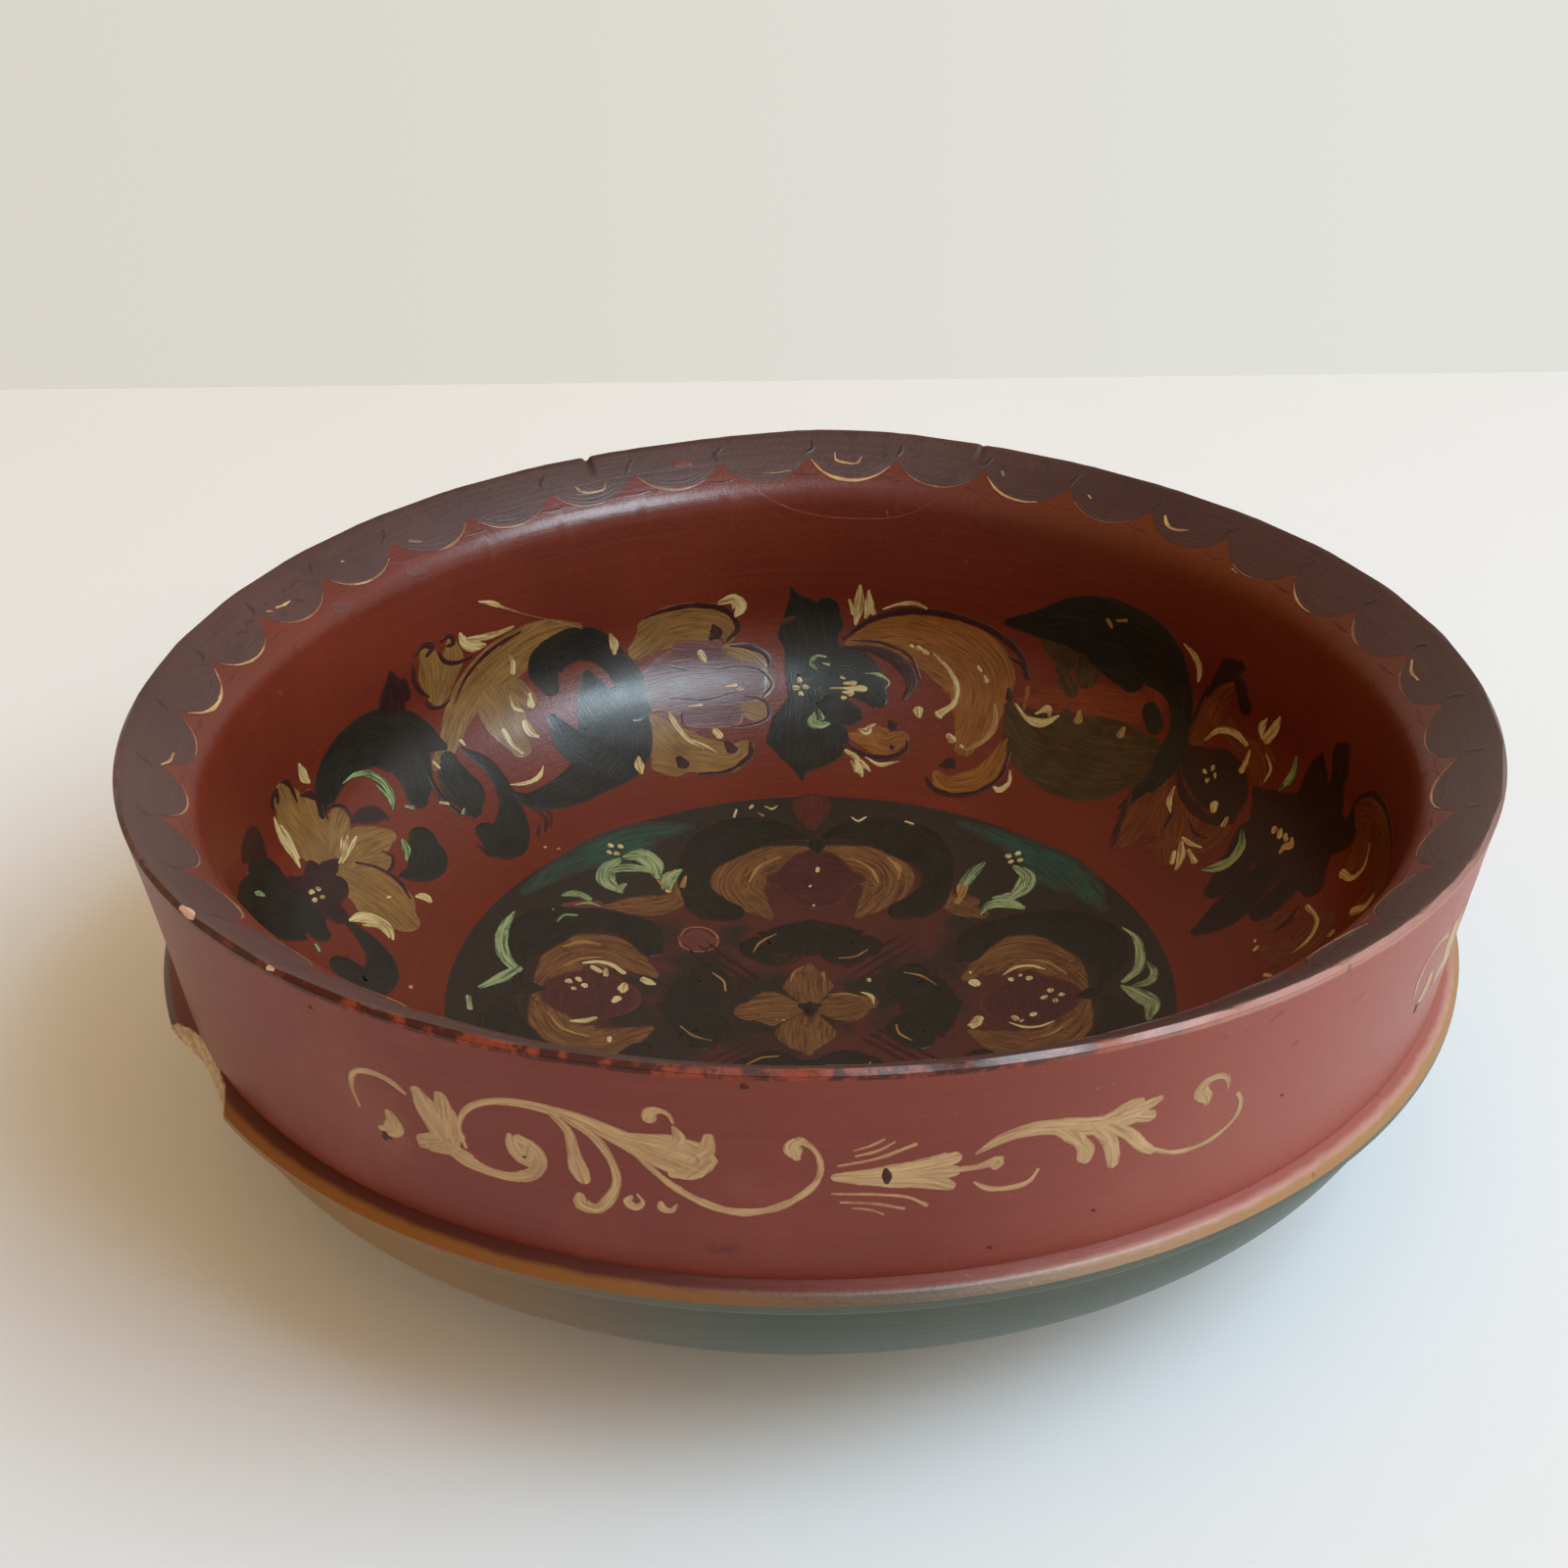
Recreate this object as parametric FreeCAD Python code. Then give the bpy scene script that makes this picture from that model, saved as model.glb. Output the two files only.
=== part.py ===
"""Painted ale bowl, turned from one block of birch.

The bowl is one turned body of wood. Everything else on it is paint, laid on
in closed bands round the section, so each coat is a thin shell that seats on
the wood exactly. The whole model is worked out from one half section, which
is drawn in the plane y = 0 and turned once round the Z axis.

Units are millimetres. Z points up, z = 0 is the plane that the foot ring
rests on, and the Z axis is the axis that the bowl was turned on.
"""
import FreeCAD, Part
import math
import os

from FreeCAD import Vector

# Driving sizes of the turned wood, and the thickness of a coat
RIM_RADIUS = 159.7
HEIGHT = 108.0
COAT = 0.3

# Inside of the bowl: radius, and depth below the rim plane
FLOOR_CENTRE_DEPTH = 95.0
FLOOR_RADIUS = 92.8
FLOOR_EDGE_DEPTH = 84.9
CORNER_RADIUS = 127.9
CORNER_DEPTH = 67.9
CORNER_TOP_RADIUS = 139.4
CORNER_TOP_DEPTH = 44.0
WALL_TOP_RADIUS = 141.9
WALL_TOP_DEPTH = 15.0
LIP_FOOT_RADIUS = 144.5
LIP_FOOT_DEPTH = 9.0

# Nose of the rim, between the lip and the collar: an edge worn flat
NOSE_INNER_RADIUS = RIM_RADIUS - 0.9
NOSE_DEPTH = 1.0

# Outside: a collar that draws in and turns steeper on its way down, an
# overhanging ridge with its edges broken by small flats, a belly and a foot
COLLAR_DRAW_ANGLE = 10.0
CREASE_RADIUS = 151.9
CREASE_DEPTH = 53.2
RIDGE_TOP_RADIUS = 155.0
RIDGE_TOP_DEPTH = 54.0
RIDGE_RADIUS = 156.5
RIDGE_DEPTH = 55.7
RIDGE_LOW_DEPTH = 57.2
RIDGE_UNDER_RADIUS = 155.2
RIDGE_UNDER_DEPTH = 58.4
BELLY_TOP_RADIUS = 151.0
BELLY_TOP_DEPTH = 59.2
BELLY_MIDDLE_RADIUS = 135.2
BELLY_MIDDLE_DEPTH = 85.0
BELLY_FOOT_RADIUS = 68.0
FOOT_HEIGHT = 3.2
FOOT_OUTER_RADIUS = 67.0
FOOT_INNER_RADIUS = 56.0
FOOT_RECESS_RADIUS = 53.5
FOOT_RECESS = 2.4
FOOT_CENTRE_RECESS = 3.2

# Scalloped lower edge of the painted rim band, cut by an upright prism
SCALLOP_COUNT = 36
SCALLOP_LOW_RADIUS = 145.0
SCALLOP_HIGH_RADIUS = 150.6
PRISM_DEPTH = 20.0
PRISM_HEIGHT = 30.0

# Broken edge of the ridge: round bites side by side, each with its angle
# round the bowl, its radius, and how far it reaches in from the ridge
RIDGE_BITES = (
    (207.6, 28.0, 4.6),
    (213.6, 22.0, 3.9),
)
BITE_TILT = 9.0
BITE_TOP_DEPTH = 52.6
BITE_HEIGHT = 6.9

# Small knocks in the rim: angle, half width, depth below the rim plane
RIM_NICKS = (
    (113.9, 1.5, 1.2),
    (230.6, 1.1, 0.8),
)
NICK_OPENING = 1.0

OUTWARD = Vector(1, 0, 0)
DOWNWARD = Vector(0, 0, -1)


def point(radius, depth):
    """A point of the half section, given its depth below the rim plane."""
    return Vector(radius, 0.0, HEIGHT - depth)


def left_of(heading):
    """Direction out of the wood for a line that runs with the wood on its right."""
    return Vector(-heading.z, 0.0, heading.x)


class Run:
    """One line or arc of the section: its three points, headings and band."""

    def __init__(self, band, start, middle, end, first_heading, last_heading):
        self.band = band
        self.start = start
        self.middle = middle
        self.end = end
        self.first_heading = first_heading
        self.last_heading = last_heading

    def edge(self):
        if self.middle is None:
            return Part.LineSegment(self.start, self.end).toShape()
        return Part.Arc(self.start, self.middle, self.end).toShape()


class Section:
    """The half section as runs from the axis, over the rim, back to the axis."""

    def __init__(self, start):
        self.at = start
        self.heading = None
        self.band = "bare"
        self.runs = []

    def add(self, middle, end, first_heading, last_heading):
        self.runs.append(Run(self.band, self.at, middle, end, first_heading, last_heading))
        self.at = end
        self.heading = last_heading

    def line_to(self, end):
        heading = end.sub(self.at).normalize()
        self.add(None, end, heading, heading)

    def arc_to(self, end, heading=None):
        """Arc that leaves along the heading and ends at a point.

        Its last heading is the first one mirrored in the chord, and its
        middle stands off the chord by half the chord times the tangent of
        half the angle between heading and chord.
        """
        first = heading or self.heading
        chord = end.sub(self.at)
        unit = Vector(chord).normalize()
        along = first.dot(unit)
        across = first.sub(Vector(unit).multiply(along))
        turn = math.atan2(across.Length, along)
        stand_off = across.normalize().multiply(chord.Length / 2.0 * math.tan(turn / 2.0))
        middle = self.at.add(chord.multiply(0.5)).add(stand_off)
        self.add(middle, end, first, unit.multiply(2.0 * along).sub(first))

    def face(self):
        return Part.Face(Part.Wire([run.edge() for run in self.runs]))

    def raised(self, index, height):
        """Start of a run, moved out so that both runs that meet there rise by height.

        The very first start lies on the axis and goes straight up it.
        """
        run = self.runs[index]
        if index == 0:
            return run.start.add(Vector(0, 0, height))
        out = left_of(run.first_heading)
        before = left_of(self.runs[index - 1].last_heading)
        both = out.add(before)
        return run.start.add(both.multiply(height / (1.0 + out.dot(before))))

    def coat_face(self, band, height):
        """Half section of a coat: the runs of its band, and the same runs raised."""
        places = [index for index, run in enumerate(self.runs) if run.band == band]
        edges = []
        for index in places:
            run = self.runs[index]
            middle = run.middle
            if middle is not None:
                outward = left_of(run.end.sub(run.start).normalize())
                middle = middle.add(outward.multiply(height))
            top = Run(band, self.raised(index, height), middle, self.raised(index + 1, height), None, None)
            edges.extend([run.edge(), top.edge()])
        for index in (places[0], places[-1] + 1):
            edges.append(Part.LineSegment(self.runs[index].start, self.raised(index, height)).toShape())
        return Part.Face(Part.Wire(Part.__sortEdges__(edges)))


def bowl_section():
    """The named sizes in order, with the band of paint that each run carries."""
    section = Section(point(0, FLOOR_CENTRE_DEPTH))
    section.band = "floor"
    section.arc_to(point(FLOOR_RADIUS, FLOOR_EDGE_DEPTH), OUTWARD)
    section.band = "wall"
    section.arc_to(point(CORNER_RADIUS, CORNER_DEPTH))
    section.arc_to(point(CORNER_TOP_RADIUS, CORNER_TOP_DEPTH))
    section.arc_to(point(WALL_TOP_RADIUS, WALL_TOP_DEPTH))
    section.arc_to(point(LIP_FOOT_RADIUS, LIP_FOOT_DEPTH))
    section.band = "lip"
    section.arc_to(point(NOSE_INNER_RADIUS, 0))
    section.line_to(point(RIM_RADIUS, NOSE_DEPTH))
    section.band = "collar"
    draw = math.radians(COLLAR_DRAW_ANGLE)
    collar_heading = Vector(-math.sin(draw), 0, -math.cos(draw))
    section.arc_to(point(CREASE_RADIUS, CREASE_DEPTH), collar_heading)
    section.band = "ridge"
    section.line_to(point(RIDGE_TOP_RADIUS, RIDGE_TOP_DEPTH))
    section.line_to(point(RIDGE_RADIUS, RIDGE_DEPTH))
    section.band = "belly"
    section.line_to(point(RIDGE_RADIUS, RIDGE_LOW_DEPTH))
    section.line_to(point(RIDGE_UNDER_RADIUS, RIDGE_UNDER_DEPTH))
    section.line_to(point(BELLY_TOP_RADIUS, BELLY_TOP_DEPTH))
    section.arc_to(point(BELLY_MIDDLE_RADIUS, BELLY_MIDDLE_DEPTH), DOWNWARD)
    section.arc_to(point(BELLY_FOOT_RADIUS, HEIGHT - FOOT_HEIGHT))
    section.band = "bare"
    section.line_to(point(FOOT_OUTER_RADIUS, HEIGHT))
    section.line_to(point(FOOT_INNER_RADIUS, HEIGHT))
    section.line_to(point(FOOT_RECESS_RADIUS, HEIGHT - FOOT_RECESS))
    section.line_to(point(0, HEIGHT - FOOT_CENTRE_RECESS))
    section.line_to(point(0, FLOOR_CENTRE_DEPTH))
    return section


def turned(face):
    """Solid that a half section sweeps out in one turn round the Z axis."""
    return face.revolve(Vector(0, 0, 0), Vector(0, 0, 1), 360.0)


def scallop_prism():
    """Upright prism inside the scallop outline: a ring of bulging arcs.

    Between two junctions on the outer circle, each arc dips inward to the
    inner circle, so that its lobe hangs from the lip into the bowl.
    """
    step = 2.0 * math.pi / SCALLOP_COUNT
    bottom = HEIGHT - PRISM_DEPTH
    arcs = []
    for lobe in range(SCALLOP_COUNT):
        places = (
            (SCALLOP_HIGH_RADIUS, lobe * step),
            (SCALLOP_LOW_RADIUS, (lobe + 0.5) * step),
            (SCALLOP_HIGH_RADIUS, (lobe + 1.0) * step),
        )
        ends = [Vector(r * math.cos(a), r * math.sin(a), bottom) for r, a in places]
        arcs.append(Part.Arc(*ends).toShape())
    outline = Part.Face(Part.Wire(arcs))
    return outline.extrude(Vector(0, 0, PRISM_HEIGHT))


def placed(shape, angle):
    """The shape turned round the Z axis to an angle in degrees."""
    shape.rotate(Vector(0, 0, 0), Vector(0, 0, 1), angle)
    return shape


def ridge_break():
    """Overlapping round bites that have split away from the ridge."""
    bites = []
    for angle, radius, reach in RIDGE_BITES:
        centre = RIDGE_RADIUS + radius - reach
        foot = Vector(centre, 0, HEIGHT - BITE_TOP_DEPTH - BITE_HEIGHT)
        bite = Part.makeCylinder(radius, BITE_HEIGHT, foot)
        bite.rotate(Vector(RIDGE_RADIUS, 0, HEIGHT - RIDGE_DEPTH), Vector(0, 1, 0), BITE_TILT)
        bites.append(placed(bite, angle))
    return bites[0].fuse(bites[1:])


def rim_nicks():
    """Small three-sided notches that cross the rim from inside to outside."""
    notches = []
    for angle, half_width, depth in RIM_NICKS:
        length = RIM_RADIUS - LIP_FOOT_RADIUS
        start = RIM_RADIUS - length * depth / LIP_FOOT_DEPTH
        top = HEIGHT + NICK_OPENING
        corners = (
            Vector(start, -half_width, top),
            Vector(start, 0, HEIGHT - depth),
            Vector(start, half_width, top),
            Vector(start, -half_width, top),
        )
        notch = Part.Face(Part.makePolygon(corners)).extrude(Vector(length, 0, 0))
        notches.append(placed(notch, angle))
    return notches


def build():
    """All pieces by node name."""
    section = bowl_section()
    bands = ("floor", "wall", "lip", "collar", "ridge", "belly")
    coats = {band: turned(section.coat_face(band, COAT)) for band in bands}
    inside = scallop_prism()
    ridge_gap = ridge_break()
    body = turned(section.face()).cut(ridge_gap)
    rim_band = coats["lip"].cut(inside)
    for notch in rim_nicks():
        body = body.cut(notch)
        rim_band = rim_band.cut(notch)
    return {
        "turned_bowl_body": body,
        "interior_red_coat": coats["wall"].fuse(coats["lip"].common(inside)),
        "floor_medallion_coat": coats["floor"],
        "rim_band_coat": rim_band,
        "collar_red_coat": coats["collar"],
        "ridge_ochre_coat": coats["ridge"].cut(ridge_gap),
        "belly_green_coat": coats["belly"].cut(ridge_gap),
    }


def main():
    os.makedirs("parts", exist_ok=True)
    for node, shape in build().items():
        box = shape.optimalBoundingBox()
        print(f"{node}: {len(shape.Solids)} solid, valid {shape.isValid()}, {shape.Volume / 1000.0:.1f} cm3,"
              f" r {box.XMax:.1f}, z {box.ZMin:.1f} to {box.ZMax:.1f}, {len(shape.Faces)} faces")
        shape.Solids[0].exportStep(f"parts/{node}.step")


main()
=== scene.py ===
# %% [markdown]
# # A painted ale bowl
#
# The bowl is one block of birch, turned on a lathe and then painted. So there are only two kinds of surface
# to make: sides of the turned section, which are surfaces of revolution, and brush strokes that lie on them.
# The scene is in metres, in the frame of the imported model: Z is the turning axis and z = 0 is the table. The
# bowl's own sizes are written in millimetres, as a turner would.

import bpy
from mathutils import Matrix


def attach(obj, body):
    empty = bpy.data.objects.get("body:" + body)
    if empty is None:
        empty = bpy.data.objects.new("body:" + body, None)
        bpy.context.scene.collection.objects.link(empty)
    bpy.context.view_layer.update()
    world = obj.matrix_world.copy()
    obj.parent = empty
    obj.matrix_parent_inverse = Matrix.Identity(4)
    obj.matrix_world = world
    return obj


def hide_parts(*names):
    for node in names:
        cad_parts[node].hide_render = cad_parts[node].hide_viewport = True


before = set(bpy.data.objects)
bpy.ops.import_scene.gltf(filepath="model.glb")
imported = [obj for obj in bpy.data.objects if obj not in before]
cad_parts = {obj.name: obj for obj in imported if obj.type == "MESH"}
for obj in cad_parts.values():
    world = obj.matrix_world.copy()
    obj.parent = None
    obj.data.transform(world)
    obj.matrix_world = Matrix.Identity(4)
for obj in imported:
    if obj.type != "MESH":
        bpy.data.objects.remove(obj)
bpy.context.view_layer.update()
print("nodes:", sorted(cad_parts))

# %% Tools
import math

import bpy
import numpy as np
from mathutils import Matrix, Vector

MM = 0.001

# %% [markdown]
# ## The camera
#
# The photograph was taken from about half a metre away, looking down at the bowl. The camera is placed on a
# circle round the middle of the rim, by its distance and its height angle. Then it is turned until the middle
# of the rim falls on the pixel where the photograph has it.

# %% Camera
RIM_RADIUS = 159.7
HEIGHT = 108.0
FRAME_PIXELS = 1600.0
FOCAL_PIXELS = 2305.4
SENSOR_MM = 36.0
CAMERA_DISTANCE = 537.8
CAMERA_PITCH = math.radians(26.46)
CAMERA_ROLL = math.radians(-0.55)
RIM_MIDDLE_PIXEL = (824.2, 694.3)


def add_camera():
    """Camera at distance and pitch from the middle of the rim, turned so that this middle falls on its pixel.

    The turn has two angles. Each one's tangent is the pixel's distance from the middle of the frame over
    the focal length.
    """
    back = Vector((0.0, -math.cos(CAMERA_PITCH), math.sin(CAMERA_PITCH)))
    side = math.atan((RIM_MIDDLE_PIXEL[0] - FRAME_PIXELS / 2) / FOCAL_PIXELS)
    rise = math.atan((RIM_MIDDLE_PIXEL[1] - FRAME_PIXELS / 2) / FOCAL_PIXELS * math.cos(side))
    aim = Matrix.Rotation(math.pi / 2 - CAMERA_PITCH, 4, "X")
    turn = Matrix.Rotation(rise, 4, "X") @ Matrix.Rotation(side, 4, "Y")
    data = bpy.data.cameras.new("photo_camera")
    data.sensor_width = SENSOR_MM
    data.lens = SENSOR_MM * FOCAL_PIXELS / FRAME_PIXELS
    data.clip_start = 0.01
    camera = bpy.data.objects.new("photo_camera", data)
    place = Matrix.Translation(Vector((0, 0, HEIGHT * MM)) + back * CAMERA_DISTANCE * MM)
    camera.matrix_world = place @ aim @ turn @ Matrix.Rotation(CAMERA_ROLL, 4, "Z")
    bpy.context.collection.objects.link(camera)
    bpy.context.scene.camera = camera
    return camera


camera = add_camera()
print("camera at", [round(c, 3) for c in camera.matrix_world.translation])

# %% [markdown]
# ## The turned section
#
# A turner thinks of a bowl as one half section. It is drawn here as arcs that run smoothly into each other,
# from the middle of the floor up to the rim, and from the rim down to the foot. Each arc needs only its end
# point, because it starts where the last one ended and in the same direction.

# %% Arcs that join smoothly
def tangent_arc(start, heading, end, steps):
    """Points of the arc that leaves start at an angle of heading and ends at end, and its last heading.

    The heading turns evenly from the chord's angle plus turn to the chord's angle minus turn. A point is the
    start plus the radius times the difference of sine and cosine between the two headings.
    """
    chord = np.subtract(end, start)
    along = math.atan2(chord[1], chord[0])
    turn = (heading - along + math.pi) % (2 * math.pi) - math.pi
    share = np.linspace(0, 1, steps + 1)[1:]
    if abs(turn) < 1e-6:
        return start + chord * share[:, None], along
    radius = np.hypot(*chord) / (2 * math.sin(turn))
    angle = along + turn * (1 - 2 * share)
    first = along + turn
    shift = np.stack([np.sin(first) - np.sin(angle), np.cos(angle) - np.cos(first)], 1)
    return start + radius * shift, along - turn


FINE_STEP = 0.5


def section_line(start, heading, corners, step=1.6):
    """One polyline through the corners, each given as (radius, depth below the rim, kind).

    Kind is "arc" for an arc that runs on smoothly, "line" for a straight run, and "drop" for an arc that
    first turns to point straight down.
    """
    at = np.array([start[0], HEIGHT - start[1]])
    points = [at[None]]
    for radius, depth, kind in corners:
        end = np.array([radius, HEIGHT - depth])
        steps = max(3, int(np.hypot(*(end - at)) / (step if kind != "line" else FINE_STEP)))
        if kind == "line":
            heading = math.atan2(*(end - at)[::-1])
            run = at + (end - at) * np.linspace(0, 1, steps + 1)[1:, None]
        else:
            heading = -math.pi / 2 if kind == "drop" else heading
            run, heading = tangent_arc(at, heading, end, steps)
        points.append(run)
        at = end
    return np.concatenate(points)


# %% Sizes of the section, in millimetres
FLOOR_MIDDLE = (0.0, 95.0)
FLOOR_EDGE = (92.8, 84.9, "arc")
WALL_CORNERS = ((127.9, 67.9, "arc"), (139.4, 44.0, "arc"), (141.9, 15.0, "arc"), (145.0, 9.8, "arc"))
LIP_END = (158.7, 0.35, "arc")
NOSE = (RIM_RADIUS, 1.0)
COLLAR_HEADING = math.radians(-100.0)
CREASE = (151.9, 53.2, "arc")
RIDGE_TOP = ((155.0, 54.0, "line"), (156.5, 55.7, "line"))
RIDGE_UNDER = ((156.5, 57.2, "line"), (155.2, 58.4, "line"), (151.0, 59.2, "line"))
BELLY = ((135.2, 85.0, "drop"), (68.0, 104.8, "arc"))
FOOT = ((67.0, 108.0, "line"), (56.0, 108.0, "line"), (53.5, 105.6, "line"), (0.0, 104.8, "line"))

inside_line = section_line(FLOOR_MIDDLE, 0.0, (FLOOR_EDGE, *WALL_CORNERS, LIP_END, (*NOSE, "arc")))
outside_line = section_line(NOSE, COLLAR_HEADING, (CREASE, *RIDGE_TOP, *RIDGE_UNDER, *BELLY))
foot_line = section_line(BELLY[-1][:2], 0.0, FOOT)
print("points of the section:", len(inside_line), len(outside_line), len(foot_line))

# %% [markdown]
# ## One side of the bowl as a surface
#
# A place on the bowl is an angle round the axis, in degrees, and a distance along the section, in
# millimetres, just as a painter would step it off. `Side` turns such a place, and a height above the wood,
# into a point in space. Old bowls dry out of round, so the rim also gets a slight saddle: it dips at the
# sides and rises at the front and back, and this fades towards the foot.

# %% Warp and knocks
WARP_HEIGHT = -2.5
WARP_ANGLE = math.radians(-2.8)
WARP_ROUNDNESS = 0.0038
RIM_SWELLS = ((86.0, 13.0, 1.9), (47.0, 18.0, -1.0), (140.0, 30.0, 0.4))
RIM_KNOCKS = ((113.9, 0.9, 1.3), (70.6, 0.8, 0.5))


def settle(radius, angle, height):
    """Points in metres, with the warp of the dried wood and the knocks in the rim.

    The warp adds a cosine of twice the angle to height and radius, in proportion to the height. A swell is a
    bell curve round the rim that fades with the square of the height. A knock is a narrow one that takes a
    bite out of the height, near the rim only.
    """
    share = np.clip(height / HEIGHT, 0, 1)
    wave = np.cos(2 * (angle - WARP_ANGLE))
    near_rim = np.clip((radius - 150.0) / 8.0, 0, 1) * np.clip((height - HEIGHT + 4.0) / 3.0, 0, 1)
    swell = np.zeros_like(angle)
    for place, reach, rise in RIM_SWELLS:
        across = np.degrees((angle - math.radians(place) + np.pi) % (2 * np.pi) - np.pi)
        swell = swell + rise * np.exp(-((across / reach) ** 2))
    dip = np.zeros_like(radius)
    for place, width, depth in RIM_KNOCKS:
        across = (angle - math.radians(place) + np.pi) % (2 * np.pi) - np.pi
        dip = dip + depth * np.exp(-((across * RIM_RADIUS / width) ** 2))
    radius = radius * (1 + WARP_ROUNDNESS * share * wave)
    height = height + WARP_HEIGHT * share * wave + swell * share**2 - dip * near_rim
    return np.stack([radius * np.cos(angle), radius * np.sin(angle), height], -1) * MM


class Side:
    """One side of the turned section, from its first point to its last."""

    def __init__(self, line):
        self.line = line
        step = np.hypot(*np.diff(line, axis=0).T)
        self.along = np.concatenate([[0.0], np.cumsum(step)])
        slope = np.gradient(line, self.along, axis=0)
        self.normal = np.stack([-slope[:, 1], slope[:, 0]], 1) / np.hypot(*slope.T)[:, None]

    def lifted(self, along, lift):
        """Radius and height at a distance along the section, lifted off the wood.

        Place and normal are read off the section line by linear interpolation.
        """
        place = [np.interp(along, self.along, self.line[:, axis]) for axis in (0, 1)]
        normal = [np.interp(along, self.along, self.normal[:, axis]) for axis in (0, 1)]
        return place[0] + lift * normal[0], place[1] + lift * normal[1]

    def at(self, angle, along, lift):
        """Point in metres at an angle in radians and a distance along the section, lifted off the wood."""
        radius, height = self.lifted(along, lift)
        return settle(np.maximum(radius, 0.0), angle, height)


inside = Side(inside_line)
outside = Side(outside_line)
print("length along the inside", round(inside.along[-1], 1), "mm, outside", round(outside.along[-1], 1), "mm")

# %% [markdown]
# ## Grids of points become meshes
#
# All the pieces are grids: rows of points, joined row to row. A ring of rows closes on itself, and a row that
# has shrunk to one point becomes a pole, so that every mesh is closed, as a solid is.

# %% Mesh from a grid
def grid_faces(rows, columns, close_rows):
    """Corner numbers of the quads of a grid whose columns close on themselves.

    Quad (i, j) joins points (i, j), (i, j+1), (i+1, j+1) and (i+1, j), all modulo the counts.
    """
    i, j = np.meshgrid(np.arange(rows if close_rows else rows - 1), np.arange(columns), indexing="ij")
    below, after = (i + 1) % rows, (j + 1) % columns
    corners = [i * columns + j, i * columns + after, below * columns + after, below * columns + j]
    return np.stack(corners, -1).reshape(-1, 4)


def capped_faces(rows, columns, turned_over):
    """Quads of a grid of rings, and the triangles that close its first and last ring on a pole each.

    The two poles are the points that follow those of the grid. Turned over, a face lists its corners
    backwards.
    """
    here = np.arange(columns)
    after = (here + 1) % columns
    base = (rows - 1) * columns
    first_pole = np.full(columns, rows * columns)
    quads = grid_faces(rows, columns, False)
    fans = np.concatenate([np.stack([first_pole, after, here], 1),
                           np.stack([first_pole + 1, base + here, base + after], 1)])
    return (quads[:, ::-1], fans[:, ::-1]) if turned_over else (quads, fans)


SHARP_FROM = math.radians(48.0)


def new_object(name, points, faces, values=None):
    """Smooth mesh object from arrays of points and faces. Values are (point, number) attributes by name."""
    mesh = bpy.data.meshes.new(name)
    mesh.from_pydata(points.reshape(-1, 3).tolist(), [], faces)
    for key, value in (values or {}).items():
        attribute = mesh.attributes.new(key, "FLOAT", "POINT")
        attribute.data.foreach_set("value", np.ravel(value).astype(np.float32))
    mesh.shade_smooth()
    mesh.set_sharp_from_angle(angle=SHARP_FROM)
    piece = bpy.data.objects.new(name, mesh)
    bpy.context.collection.objects.link(piece)
    return piece


EVEN_TURN = 0.625
FINE_TURN = 0.2
FINE_PLACES = ((69.6, 71.6), (112.8, 115.0), (200.0, 221.0))


def column_angles():
    """Angles of the columns, in radians: even round the bowl, and finer at the knocks and the break."""
    even = np.arange(0.0, 360.0, EVEN_TURN)
    apart = [(even < low - FINE_TURN / 2) | (even > high + FINE_TURN / 2) for low, high in FINE_PLACES]
    fine = [np.arange(low, high, FINE_TURN) for low, high in FINE_PLACES]
    return np.radians(np.sort(np.concatenate([even[np.all(apart, axis=0)], *fine])))


ANGLES = column_angles()
print("columns round the bowl:", len(ANGLES))

# %% Closed coats of paint
COAT = 0.3
TUCK = -0.05


def coat(name, side, first, last, rows, thickness=COAT):
    """Shell over the side between two distances along it, which may differ from angle to angle.

    The outer face runs from first to last at the coat's thickness, and the inner face runs back a hair inside
    the wood, so the rows close into a ring.
    """
    first = np.broadcast_to(first, ANGLES.shape)
    along = first + (last - first) * np.linspace(0, 1, rows)[:, None]
    along = np.concatenate([along, along[::-1]])
    lift = np.where(np.arange(2 * rows) < rows, thickness, TUCK)[:, None]
    faces = grid_faces(2 * rows, len(ANGLES), True)
    return new_object(name, side.at(ANGLES, along, lift), faces.tolist(), {"along": along})


FLOOR_END = float(np.interp(FLOOR_EDGE[0], inside.line[:, 0], inside.along))
LIP_START = float(np.interp(HEIGHT - WALL_CORNERS[-1][1], inside.line[:, 1], inside.along))
RIM_LENGTH = float(inside.along[-1])
print("floor ends at", round(FLOOR_END, 1), "and the lip starts at", round(LIP_START, 1))

# %% Scalloped edge of the rim band
SCALLOPS = 36
SCALLOP_LOW = 0.3
SCALLOP_DEEP = 10.9
SCALLOP_TURN = math.radians(-0.4)


def scallop(angle):
    """Distance along the section of the rim band's lower edge.

    Between two junctions the edge swings down as a half ellipse: one less the root of one less the squared
    distance from the lobe's middle. Slow sines make the lobes uneven, as a hand does.
    """
    phase = ((angle - SCALLOP_TURN) * SCALLOPS / (2 * np.pi)) % 1.0
    across = np.abs(2 * phase - 1)
    uneven = 0.35 * np.sin(7 * angle + 1.0) + 0.3 * np.sin(11 * angle)
    return LIP_START + SCALLOP_LOW + uneven + SCALLOP_DEEP * (1 - np.sqrt(1 - 0.97 * across**2))


# %% [markdown]
# ## The bowl's own pieces
#
# The wood is one closed shape. Over it lie the coats: red inside, a dark round on the floor, purple brown on
# the lip, red on the collar, ochre on the ridge and blue-green on the belly.

# %% Where the ridge has split away
RIDGE_REACH, RIDGE_DEPTH = RIDGE_TOP[-1][:2]
BREAK_PLACE = math.radians(209.3)
BREAK_ROUND = 56.0
BREAK_BITE = 4.4
BREAK_TILT = math.radians(9.0)
BREAK_BELOW = 3.8
BREAK_ABOVE = 3.2
WHOLE = 999.0


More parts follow.
